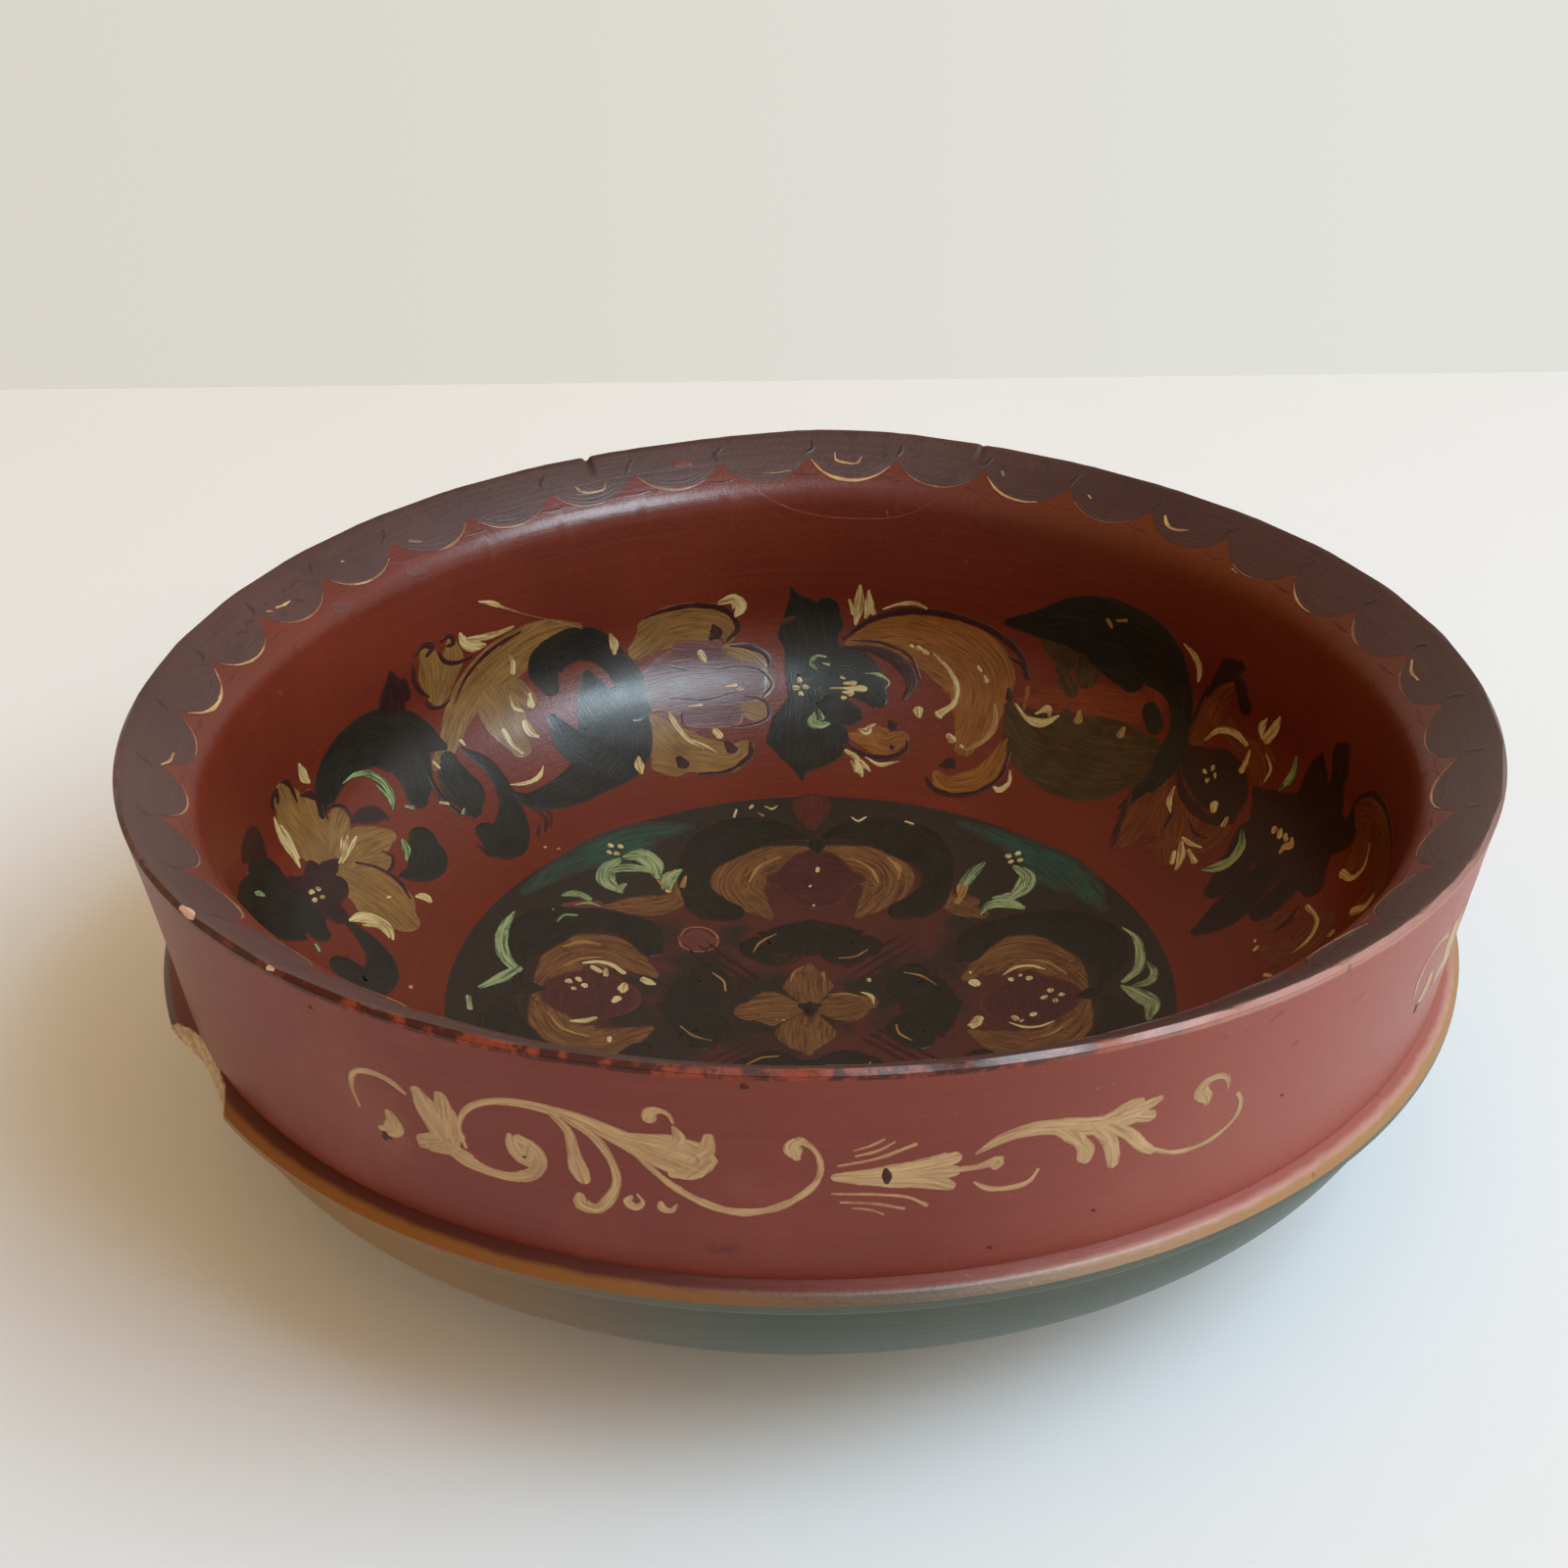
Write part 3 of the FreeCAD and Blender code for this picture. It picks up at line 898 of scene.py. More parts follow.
# %% Motifs of the garland
LEFT_LEAF = {
    "dark": (
        ((189.5, 153, 4), (186.5, 151.5, 7), (183, 147, 9), (180, 140, 9.5), (178, 134, 8), (179, 129.5, 4)),
        ((180, 151, 6), (177, 146, 6), (176, 140, 3)),
        ((183.6, 119.5, 4.6), (185, 114, 6), (182.3, 110.5, 4.8), (178.6, 112, 3.8), (175.8, 117.5, 2.6),
         (174.2, 125, 0.8)),
    ),
    "purple": (((181, 161, 3), (179, 160, 4.5), (177, 155.5, 5.5), (177.5, 150, 3)),),
    "green": (
        ((182, 150, 0.8), (181, 148.4, 1.2), (180.6, 147, 0.8)), ((182.6, 127.5, 0.8), (182, 128.4, 1)),
    ),
}
LEFT_FLOWER = {
    "ochre": (
        ((167, 139, 6), (167, 147, 8.8), (167.8, 154, 7.8), (168.6, 159.5, 4)),
        ((164.2, 142, 3), (163.4, 148, 3.6), (163.2, 152, 2.4)),
        ((165.5, 137, 2), (162.7, 139.5, 5), (160.6, 141.2, 3.6)),
        ((166, 133, 2), (162, 132, 5.6), (158.8, 130.5, 5.2), (156.6, 129, 2.6)),
        ((164, 128, 2), (161.3, 125.5, 3.8), (160, 124, 2)),
        ((168, 131, 4), (167, 124, 9), (167.2, 117, 9.2), (168.8, 111, 5)),
    ),
    "purple": (
        ((174.6, 139.5, 3.6), (173.6, 134, 6.8), (174.2, 127, 4)), ((172.5, 134, 5), (170, 137.3, 3.4)),
        ((172, 131, 4.5), (169.5, 130.2, 3.8)), ((170, 134.5, 3), (167.4, 134.6, 2.8), (165.6, 134, 0.6)),
        ((159, 138.6, 1), (156.8, 137.2, 2.8), (155, 134.6, 2.2), (154.6, 132.6, 0.7)),
    ),
    "line": (
        ((170.8, 158.6, 0.5), (170.6, 162, 1.2), (169.4, 162.4, 1.3), (169.3, 159.5, 0.9)),
        ((168, 163.4, 0.4), (166.6, 161.5, 0.8), (165.8, 157.5, 0.8), (165.6, 154, 0.3)),
        ((164.6, 154.6, 0.4), (162.8, 152.4, 1.2), (161.8, 148.6, 0.9), (162.2, 144, 0.5)),
        ((162.6, 145.4, 0.3), (160.4, 145.6, 0.5), (158.8, 143, 0.6), (158.8, 140, 0.4)),
        ((164, 130, 0.4), (162.4, 124.6, 0.6), (162.2, 118, 0.7), (164, 112.6, 0.4)),
        ((159.4, 127, 0.3), (159, 124.2, 0.6), (160.6, 122, 0.6), (162.2, 122, 0.3)),
    ),
    "cream": (
        ((171, 156.4, 0.7), (171.1, 151, 1.9), (170.8, 145, 1.9), (171.4, 141.6, 0.7)),
        ((170.2, 153, 0.6), (169.8, 148, 1.1), (170.4, 143, 0.5)),
        ((174, 122.6, 0.7), (172.4, 120.4, 2.4), (171.4, 116, 2.4), (172.2, 112.4, 1.6), (173.6, 110.8, 0.8)),
        ((173.6, 119, 0.5), (172.4, 114.4, 1.2), (173.6, 111.8, 0.6)),
        ((166, 133.4, 0.4), (163.6, 134.4, 0.9), (161.6, 136.4, 0.7)),
        ((165.6, 132.8, 0.4), (163, 133.6, 0.9), (160.6, 134.6, 0.6)),
        ((164.6, 134.4, 0.3), (163.2, 136, 0.8), (162.2, 137.6, 0.4)),
        ((163.6, 162.4, 0.9), (163.2, 159.2, 2.3), (162.4, 156, 1)),
        ((163, 111.4, 0.8), (162.3, 109.6, 2), (162.6, 108, 1)), ((166.2, 117.6, 0.5), (165.8, 117.2, 0.5)),
        ((173.6, 135.2, 0.9), (173.2, 134.9, 0.9)), ((173, 132, 0.9), (172.8, 131.8, 0.8)),
        ((174.4, 133.4, 0.9), (174.1, 133.2, 0.9)), ((172.2, 134, 0.9), (172, 133.7, 0.8)),
    ),
}
GREEN_SCROLL = {
    "dark": (
        ((162.6, 146, 1.5), (161, 149, 4), (158, 153, 6), (153.5, 155, 7), (148.6, 152, 8.6),
         (146.4, 145, 8.4), (146.8, 138, 6), (148.6, 132.4, 3.4)),
        ((150, 157, 3), (145.6, 151.4, 6), (142.6, 145.6, 4.6), (140.8, 141.4, 1.4)),
        ((161.2, 118.6, 0.7), (158.6, 115.8, 4), (155.4, 117, 6.2), (153, 122, 4.2)),
        ((141.2, 137, 3), (142, 131, 5.6), (142.4, 125, 6), (143.2, 121, 3)),
        ((138.6, 138, 0.8), (136.9, 132, 2.2), (136.6, 124.5, 2.5), (137.8, 116.5, 3.4), (140.6, 109.8, 5.4),
         (144, 106.6, 6), (144.2, 112, 4)), ((145.6, 102.6, 0.5), (147.2, 106, 0.9), (147.4, 110.6, 0.4)),
        ((145, 136, 0.8), (145.6, 128, 1), (145.2, 121, 0.6)),
    ),
    "purple": (
        ((145.2, 155.6, 3), (145.8, 160.6, 5.4), (145.6, 165.6, 3.6), (145.6, 169.4, 0.7)),
        ((148, 158.6, 1.4), (147, 162, 2.6)), ((143.6, 160, 1.8), (144, 163.6, 2.2)),
        ((135.4, 112.6, 0.4), (134.8, 107, 0.8), (136.6, 103.4, 0.4)),
        ((134.2, 112, 0.3), (133.6, 107.4, 0.6), (135, 104.4, 0.3)), ((138, 103.6, 0.8), (136.8, 105.8, 0.6)),
    ),
    "green": (
        ((157, 148.3, 0.3), (154.6, 148, 0.8), (152.4, 145.2, 1.4), (151.4, 141, 1.6), (151.8, 136.4, 1.2),
         (152.8, 134, 0.5)), ((152.6, 142, 0.4), (152.2, 137, 0.8), (152.6, 134.6, 0.3)),
        ((151, 132.4, 0.5), (150.4, 131, 0.9)), ((155.6, 125.2, 0.9), (156.4, 122.8, 1.5), (158, 120.6, 0.5)),
        ((146.6, 127.4, 0.6), (145.6, 126.8, 0.5)), ((144.8, 121.4, 0.9), (144.2, 122.2, 0.6)),
    ),
}
OCHRE_SCROLL = {
    "ochre": (
        ((143.4, 137.6, 1.6), (140.4, 140.4, 3), (137.4, 147, 4.6), (133.4, 153.6, 6.6), (128.4, 158.2, 7.4),
         (122.6, 161.8, 4.2), (119, 161, 1.6)),
        ((132.6, 156, 5), (131.6, 147, 6.8), (131, 138, 6.4), (131, 131.6, 3.4)),
        ((139.6, 157, 3), (139.5, 163.6, 5), (139.8, 169, 3)),
        ((137.4, 158.6, 3), (136.4, 164.4, 4.4), (136.2, 168.6, 2.2)),
        ((139.4, 153.4, 1.8), (138.2, 156.6, 3.4)), ((128, 148, 3), (127, 143.6, 2.6)),
    ),
    "line": (
        ((142, 168.4, 0.4), (142.2, 164, 0.8), (141.6, 159.6, 0.7), (140.4, 156.4, 0.4)),
        ((140.6, 157.6, 0.3), (140.8, 154.4, 0.6), (139.2, 152, 0.6), (137.6, 152.8, 0.3)),
        ((141.6, 170.2, 0.4), (140, 172, 0.9), (138.9, 170.4, 1), (139.8, 168.8, 0.7)),
        ((137.6, 171, 0.4), (136.2, 171.4, 0.9), (135.9, 168.8, 0.8), (136.8, 168.8, 0.4)),
        ((138.2, 168, 0.4), (137.4, 164.6, 0.8), (135.6, 162.6, 0.6), (133.6, 162.8, 0.6)),
        ((137, 151.4, 0.3), (134.4, 157.6, 0.6), (130.6, 162.6, 0.7), (126.6, 164.8, 0.4)),
    ),
    "cream": (
        ((134.8, 170.6, 0.7), (134.4, 168, 2), (133, 165.6, 2.2), (131.6, 164.6, 0.8)),
        ((134, 168.4, 0.5), (132.4, 167.4, 1.2), (130, 166.6, 1.1), (127.4, 167, 0.4)),
        ((128.4, 158.6, 0.5), (128, 156, 0.9), (128.2, 153.6, 1.2)), ((126.8, 145.4, 0.8), (127, 142.6, 1.5)),
        ((129.4, 147, 0.4), (129.4, 143.4, 0.7), (128.4, 141.4, 0.5)),
        ((128.8, 138, 1.2), (128.6, 134.6, 1.8), (128, 133, 0.8)),
        ((132, 138, 1.1), (131.8, 133, 0.9), (131.2, 129.8, 0.6)),
        ((135.6, 122.2, 0.3), (133.4, 120.6, 0.8), (130.8, 121.2, 0.8), (129.6, 123.4, 0.3)),
        ((143.2, 138.4, 0.8), (143, 136.6, 0.6)), ((138.2, 140.4, 0.8), (138, 139, 0.5)),
        ((146.4, 127.6, 0.5), (145.6, 126.2, 0.7)),
    ),
}
ROUND_SCROLL = {
    "dark": (
        ((123.8, 146, 3), (124, 151.6, 5.6), (121, 156, 5.6), (117.4, 154.8, 5), (114.8, 148.6, 4.2),
         (113.4, 141, 4.8), (113.8, 134, 5.6)),
        ((118.6, 146, 2), (118.4, 139, 6.5), (117.6, 130, 12), (119, 121.6, 11.4), (124.4, 115, 7),
         (130.4, 113, 5), (134.8, 115.4, 2.8), (136.2, 119.4, 0.7)),
        ((125, 136, 2), (124.2, 128, 5), (122.6, 120, 5)),
    ),
    "cream": (
        ((114.6, 150.8, 0.8), (114.5, 153.4, 1.7), (114.8, 156.2, 0.8)),
        ((116.4, 111.6, 0.9), (116.2, 114, 1.7), (115.8, 116.6, 0.8)),
    ),
}
ROSE = {
    "ochre": (
        ((111.6, 150, 3), (108.4, 154.6, 6.2), (103.6, 155.6, 6.2), (100.2, 153, 4.6), (99.8, 150.4, 2)),
        ((110, 156, 3.4), (107.6, 158.6, 2)),
        ((112, 127, 4), (110.6, 119, 7.6), (106, 113, 6.6), (101.8, 111.4, 5.4), (99.4, 114.4, 2.6)),
        ((113, 112.6, 3), (110.6, 110.4, 3.4), (109, 111.6, 2)),
        ((100, 146.4, 2), (97.4, 143.6, 4), (95.8, 140, 2)), ((99, 139, 3), (96.4, 134.8, 4.4)),
        ((99.4, 128.6, 3), (96.8, 126, 3.6)),
    ),
    "rose": (
        ((112, 137, 5), (107.4, 138, 10.5), (102.6, 137, 12), (98.6, 136.4, 8)),
        ((106, 148, 3), (102, 146, 4)), ((106, 127, 4), (101, 126, 4.6)),
    ),
    "line": (
        ((110.6, 159.6, 0.3), (107.4, 161, 0.7), (103, 160.8, 0.9), (99.6, 157.6, 1), (98.6, 152.6, 0.9),
         (100, 149.4, 0.5)), ((101.6, 154, 0.8), (101.4, 152, 2.2), (102, 150.6, 0.9)),
        ((99.4, 109.4, 0.4), (103, 106, 0.8), (107.4, 106.4, 0.6)),
        ((98.6, 115.6, 0.5), (98.8, 111.4, 1), (101, 107.6, 0.8)), ((102, 116, 1.2), (101.6, 114, 1.8)),
        ((109.8, 113, 1.4), (109.6, 111.4, 2)),
        ((99.6, 147.6, 0.4), (97, 146.6, 0.9), (94.8, 142.6, 0.6), (95, 139.4, 0.3)),
        ((98.6, 141.6, 0.3), (95.8, 139.2, 0.5), (94.6, 134.6, 0.6), (96, 131, 0.4)),
        ((98.4, 131.6, 0.3), (95.6, 129, 0.5), (95.4, 124.6, 0.6), (98.4, 121.6, 0.4), (101, 121.6, 0.3)),
        ((108, 144, 0.3), (104, 141, 0.5), (99, 141.6, 0.3)),
        ((108.6, 134, 0.3), (104, 131.6, 0.5), (99.6, 133, 0.3)),
    ),
    "cream": (
        ((109.4, 130, 0.5), (108.7, 124.6, 1.3), (107.4, 118.8, 0.8), (105.8, 115.6, 0.3)),
        ((107.8, 120, 0.3), (105.4, 116.4, 0.6), (104, 113.6, 0.4)), ((103.4, 121, 1.2), (103, 119.4, 1.5)),
        ((103.6, 146.4, 1.2), (103.2, 144.2, 1)), ((100.8, 135.4, 0.5), (99.6, 135.6, 0.8)),
        ((99.2, 134.2, 1), (98.8, 134, 0.8)), ((106.4, 130.6, 0.3), (104.6, 130.4, 0.5)),
        ((100.8, 161, 0.8), (99, 161.6, 2.2), (98.2, 158.6, 2.4), (98.8, 156.6, 0.8)),
    ),
}
BUTTERFLY = {
    "dark": (
        ((91.8, 164.4, 0.4), (91.4, 161.6, 1.6), (90.8, 158, 5), (90, 153, 9), (89.5, 147, 8.6),
         (90, 140, 6.6), (89.6, 130, 6.6)), ((87.4, 157.4, 3.6), (86.8, 152.6, 3.6)),
        ((89.8, 131, 5), (90, 122, 11), (90, 113, 11.6), (90.6, 107, 6), (91, 103.4, 1.6),
         (90.8, 100.4, 0.4)), ((88, 138, 8), (84.6, 138.6, 7.6), (81.8, 134.4, 6), (80.4, 130.6, 3.4)),
        ((86.4, 126.6, 5.6), (83.8, 124.4, 3.6)),
    ),
    "red": (((92.9, 153.4, 0.9), (91.9, 154.4, 1.3)),),
    "green": (
        ((87.6, 142.8, 0.5), (88.8, 143, 0.8), (89.4, 141, 0.9), (88.8, 139.2, 0.5)),
        ((87.8, 141, 0.5), (87.2, 140.6, 0.8)),
        ((89, 124.6, 0.8), (89.2, 121.6, 2.2), (88.2, 120.8, 2), (86.9, 121.4, 0.7)),
        ((88.4, 126, 0.7), (88, 123.4, 1.3)),
        ((82.4, 138.2, 0.3), (80.4, 138, 0.7), (79, 135.6, 0.5), (79.4, 134, 0.3)),
    ),
    "cream": (
        ((91, 136, 1), (90.9, 135.6, 0.8)), ((91.6, 133.4, 1.1), (91.3, 133.3, 0.9)),
        ((90.2, 133.6, 1.1), (90, 133.5, 0.9)), ((90.8, 131.4, 1), (90.7, 131.2, 0.8)),
        ((86.8, 133.2, 0.4), (84.6, 133.3, 0.6), (82.4, 133.4, 1.6)), ((85, 134.8, 0.5), (83.7, 135, 1.2)),
        ((85, 132, 0.5), (84, 131.8, 1.2)), ((85.3, 136.6, 0.9), (85.1, 136.4, 0.7)),
        ((85, 130.2, 0.9), (84.8, 130.2, 0.7)),
    ),
}
GOLD_SCROLL = {
    "gold": (
        ((84.6, 147, 1.4), (81.6, 149.6, 3.8), (77.4, 150.4, 6.8), (71.8, 147.6, 10), (67.4, 141.4, 11.4),
         (66.4, 133, 8.6), (66.2, 125, 6), (66.4, 118.6, 3.6)),
        ((60.6, 141, 1), (60.2, 132, 1), (60.9, 122, 1.6), (61.2, 115, 3), (61.9, 109.4, 4.4),
         (64.2, 105.2, 4.6), (67.2, 104.2, 3.6), (69, 107, 1.6)),
        ((83.6, 117.6, 1.4), (80.6, 117.2, 4.6), (77.8, 115.6, 4.8), (76.2, 117.6, 3)),
    ),
    "line": (
        ((85.2, 148.4, 0.5), (82.6, 153.4, 0.8), (78, 157.6, 1.1), (72.4, 158.4, 1.1), (66.6, 155.8, 1),
         (62.6, 150.4, 1), (60.8, 144, 0.6)),
        ((59.6, 120, 0.3), (59.2, 111, 0.7), (61.4, 103.6, 0.9), (65.6, 100.2, 1), (69.4, 102.6, 0.8),
         (70.4, 105, 0.4)), ((68.8, 110.4, 0.8), (67.4, 111.4, 2.2), (66.8, 110.8, 0.8)),
        ((64, 149, 0.3), (62, 147.4, 0.7), (61.2, 144, 0.4)), ((63, 139.4, 0.7), (62.6, 137.4, 1.6)),
        ((84.4, 114.6, 0.4), (81, 110.6, 1), (77.2, 110.4, 1.2), (74.8, 114.4, 0.8), (75, 117, 0.4)),
        ((78, 123, 0.8), (77.5, 121.8, 1.7)), ((77.2, 114.6, 0.6), (77, 114.2, 0.8)),
        ((84.6, 146, 0.4), (81.2, 145.4, 1.3), (77.8, 142, 2), (76, 136.6, 1.8), (76.6, 131.4, 0.7)),
        ((84.2, 148, 0.2), (80, 147.6, 0.5), (76.4, 144, 0.5), (75, 138.4, 0.3)),
    ),
    "cream": (
        ((76.6, 147.6, 0.7), (76.4, 147.3, 0.5)), ((75.6, 147.2, 1), (75.3, 146.9, 0.7)),
        ((74.8, 146.4, 1), (74.4, 146, 0.6)),
        ((73.6, 146, 0.4), (71.4, 142, 0.9), (69.8, 136.6, 1), (69.8, 131.6, 1), (71.2, 128.2, 1.6)),
        ((69.4, 134.6, 0.4), (70.2, 137, 0.6)), ((74.4, 127.8, 1.8), (74.2, 126.4, 1.2)),
        ((71.6, 127.8, 1.2), (71.2, 127, 0.9)), ((67.6, 144.2, 0.7), (67.2, 143.4, 0.6)),
        ((66.6, 142, 0.4), (66.2, 140.8, 1)), ((69.2, 121, 1.2), (68.6, 120, 1.7)),
        ((66.9, 118.4, 0.7), (66.6, 118, 0.5)),
        ((82.4, 119.8, 0.4), (81.2, 119.2, 1.6), (80.8, 121, 0.9), (80.2, 121.8, 0.4)),
        ((84, 111.8, 0.8), (82.4, 109.6, 1.2), (81.6, 106, 1.4), (81, 102.6, 0.7)),
        ((83.2, 110.2, 0.6), (80.6, 106.4, 1), (79.8, 104.8, 0.5)), ((83, 108, 0.5), (82, 104.4, 0.8)),
        ((80.8, 109.8, 0.3), (78.6, 107.6, 0.9), (75.6, 109.4, 0.3)),
        ((58.2, 114, 0.4), (57.4, 109.4, 0.9), (58.4, 106.4, 1.3), (59.2, 107, 0.6)),
        ((83.3, 164.4, 0.7), (83.4, 159, 2), (83.8, 153, 0.7)),
        ((82.2, 163, 0.6), (82.2, 157.6, 1.7), (82.6, 155, 0.6)), ((84.6, 160, 0.6), (84, 156.4, 1.3)),
        ((82, 161, 0.5), (81.6, 156.6, 1)),
        ((80.4, 157.8, 0.3), (78.4, 159.8, 0.6), (76, 160.4, 0.8), (75, 159.4, 0.5)),
    ),
    "glint": (((64.4, 134, 0.4), (63.4, 128, 1.2), (64.2, 121.6, 1.2), (66, 117.4, 0.5)),),
}
CAP_SCROLL = {
    "orange": (
        ((58, 140, 3), (51, 142.6, 6), (46, 145.4, 5), (43, 150, 3)), ((44.6, 152, 2.6), (43.4, 148, 3.4)),
        ((61, 137, 2), (56, 138, 4)),
    ),
    "olive": (
        ((59, 156, 2.6), (56.6, 152.6, 4.4), (56.8, 150, 2.6)), ((53.4, 154, 4.6), (53.4, 149.6, 4)),
        ((56, 146.4, 2.6), (55, 144, 2.8)),
        ((62.4, 134.4, 1.6), (58.4, 128.6, 10), (52.4, 126.6, 15), (46.4, 127.4, 15), (41.8, 131, 9)),
    ),
    "dark": (
        ((64.6, 159.4, 1.2), (60.4, 161, 4.6), (55, 164, 9), (49, 164.6, 10.6), (43.6, 161, 9.6),
         (40.4, 154, 5), (38.8, 145, 3.6), (38.2, 136, 4.6), (38, 127, 3)),
        ((52, 158, 6), (47.6, 153.6, 4.8)), ((43.6, 146, 3), (42.4, 143, 3)),
        ((38.6, 126, 2.6), (39, 120, 1.6), (39.4, 116, 0.6)),
    ),
    "cream": (
        ((61.6, 135.6, 0.4), (59.4, 132.2, 1.1), (57, 132, 1.8), (55.4, 135.4, 0.5)),
        ((58.4, 134.4, 0.6), (57, 136.6, 1.3), (56.6, 135, 0.7)),
        ((40.6, 169.6, 0.4), (39, 167.6, 1.2), (38, 164.4, 1.4), (38, 160.6, 0.5)),
    ),
    "glint": (
        ((52.8, 138.4, 0.9), (52.6, 136.2, 1.4)), ((46.2, 138.2, 0.9), (46.2, 136.6, 1.4)),
        ((51.4, 168, 0.9), (51, 166.8, 0.9)), ((50.2, 169, 0.4), (49, 170, 0.7)),
    ),
}
RIGHT_FLOWER = {
    "amber": (
        ((36, 142, 1.6), (35.4, 150, 4.8), (34.6, 158, 4.6), (33, 164, 2)),
        ((28.6, 150, 3), (26, 148.6, 5), (24.4, 144.4, 3)), ((27, 155, 2), (24.6, 151, 2.6)),
        ((32, 152, 3), (30, 150, 3)), ((37.4, 131, 2), (36.6, 123, 5), (35, 114.6, 5), (34.2, 107.4, 2.6)),
        ((33.4, 128, 3), (30.6, 121, 8), (28.6, 115, 6), (30, 111, 2)),
        ((25.4, 130, 2.6), (24, 124, 4.6), (25, 118.6, 3.6)), ((28, 112, 3), (26, 110, 2)),
    ),
    "purple": (
        ((36.8, 140, 2.6), (34, 138.6, 6), (30, 137.8, 8.6), (27, 134.6, 7), (25.2, 131, 3.6)),
        ((36.4, 158, 1), (35, 164, 1.8), (33.4, 168.6, 3.6), (31.8, 171.6, 1.6)),
        ((31.6, 166, 2.4), (30.4, 160.6, 2.6)),
        ((36, 134, 1), (33, 129, 1.6), (29, 127, 1.8), (25.4, 127.6, 1)),
    ),
    "line": (
        ((37.6, 146, 0.4), (37.2, 154, 0.8), (36.4, 161, 0.6)),
        ((39.4, 121, 0.4), (37.8, 113, 0.9), (35.6, 106, 0.8), (34.6, 103.6, 0.3)),
        ((34, 127, 0.3), (31.8, 121, 0.6), (31, 116, 0.3)),
        ((29.6, 124, 0.3), (26.6, 121.6, 0.6), (24.6, 122.6, 0.3)),
    ),
    "cream": (
        ((34.8, 145.4, 0.4), (33.6, 149.6, 1.1), (31, 151.6, 1.3), (28.8, 150.6, 0.9)),
        ((28, 149.4, 0.5), (27.8, 146, 1.2), (27.8, 143.8, 1.3)),
        ((24.4, 163.6, 0.8), (25, 159.8, 2), (26, 155.6, 1.9)),
        ((26.6, 160.8, 0.6), (27.2, 157, 1.5), (26.8, 155, 0.7)),
        ((25.4, 151.6, 0.3), (23.8, 148.8, 0.6), (23.8, 145, 0.5)),
        ((34.8, 129.4, 0.4), (34, 125.4, 1.2), (32.4, 122.6, 0.4)), ((28, 131.4, 1.4), (27.4, 130, 1.2)),
        ((24.8, 130.4, 0.8), (24.4, 128.4, 0.9)), ((27.4, 118.4, 0.8), (25.6, 118.6, 0.8), (24, 119.6, 0.5)),
        ((27, 117, 0.8), (25, 114, 1.5), (23.4, 110.4, 0.7)), ((25, 116.6, 0.7), (22.6, 115.4, 1.1)),
        ((26.4, 113.6, 0.7), (25, 111, 1)), ((31.8, 140, 0.9), (31.7, 139.4, 0.7)),
        ((32.6, 137.8, 0.9), (32.3, 137.6, 0.7)), ((30.9, 138.4, 0.9), (30.7, 138, 0.7)),
        ((31.4, 136, 0.9), (31.3, 135.7, 0.7)),
    ),
}
PURPLE_LEAF = {
    "purple": (
        ((10.8, 172.4, 1.4), (11.4, 168.4, 5), (11.6, 162, 4), (11.4, 155, 5.6), (12, 147, 8)),
        ((15.6, 163.6, 1), (15.6, 157.6, 5.6), (15.2, 149, 7.6), (15, 141, 10)),
        ((24.2, 141.6, 1.6), (20.4, 139.4, 7.4), (15, 138.6, 12.6), (10, 137.6, 11), (5.8, 136, 4)),
        ((8.6, 148, 5), (6.6, 154, 4.4), (7, 159.6, 0.8)),
        ((20.6, 131, 4), (18.4, 125, 5), (16.6, 120, 5.6), (15.6, 114.6, 3.6)),
    ),
    "slate": (
        ((12.6, 126, 5), (11, 117, 6), (9.6, 109, 4.6), (9, 104, 2)),
        ((17.6, 126, 3), (16.4, 119, 4.6), (16, 114, 2.6)), ((8, 128, 4), (7, 121, 3.6)),
    ),
    "green": (
        ((21.4, 130.4, 0.7), (19.6, 127.4, 1.7), (18.6, 122.4, 2), (19.4, 117.4, 1.8), (20.2, 115.6, 0.8)),
        ((20.4, 156.6, 0.6), (20.2, 151.4, 1.8), (21, 146, 0.7)),
    ),
    "cream": (
        ((17.8, 136.8, 1.3), (17.6, 136.4, 1)), ((16.8, 137.6, 1.2), (16.4, 136.6, 1.2)),
        ((15.6, 137.8, 1.2), (15.2, 137.4, 1.2)),
        ((14.4, 138.4, 1), (13.8, 137.4, 1.6), (14.4, 135.4, 1.4), (14.2, 134, 0.9)),
    ),
}
END_SCROLL = {
    "amber": (
        ((5.4, 158, 2.6), (3.2, 162.6, 5.6), (-1.6, 165.4, 7.4), (-6.6, 163, 6), (-9, 158, 3)),
        ((2, 158, 6), (2.4, 151, 5.4), (3, 146, 2.6)), ((-4, 160, 7), (-5, 151, 5.6), (-4.2, 144, 3)),
        ((-1.6, 133, 5), (-3, 125, 6.6), (-1, 118, 3)), ((3, 128, 2), (3.6, 121.6, 3)),
        ((-6, 127, 3), (-6.6, 119, 3)),
    ),
    "line": (
        ((7.2, 160.6, 0.4), (3.6, 168.6, 0.9), (-2, 172.6, 1), (-8, 171, 0.8)),
        ((4, 130, 0.3), (2.6, 126, 0.9), (2, 122, 0.4)),
    ),
    "cream": (
        ((0.6, 158, 0.4), (0, 151.6, 0.9), (1.2, 146.4, 1.1), (3.2, 144.6, 1.7)),
        ((-5.6, 152, 0.8), (-5, 147, 1.4), (-3.6, 143.4, 1.7)),
        ((3, 132, 0.9), (-0.6, 132.8, 0.8), (-3, 128.8, 0.8), (-3.8, 124.4, 0.3)),
        ((2, 116.2, 0.6), (1.7, 116, 0.4)), ((0.4, 116, 0.9), (0.1, 115.2, 0.7)),
        ((-6, 116.6, 0.9), (-6.8, 118, 0.9)), ((-4, 136, 0.9), (-4.2, 135, 1)),
    ),
}

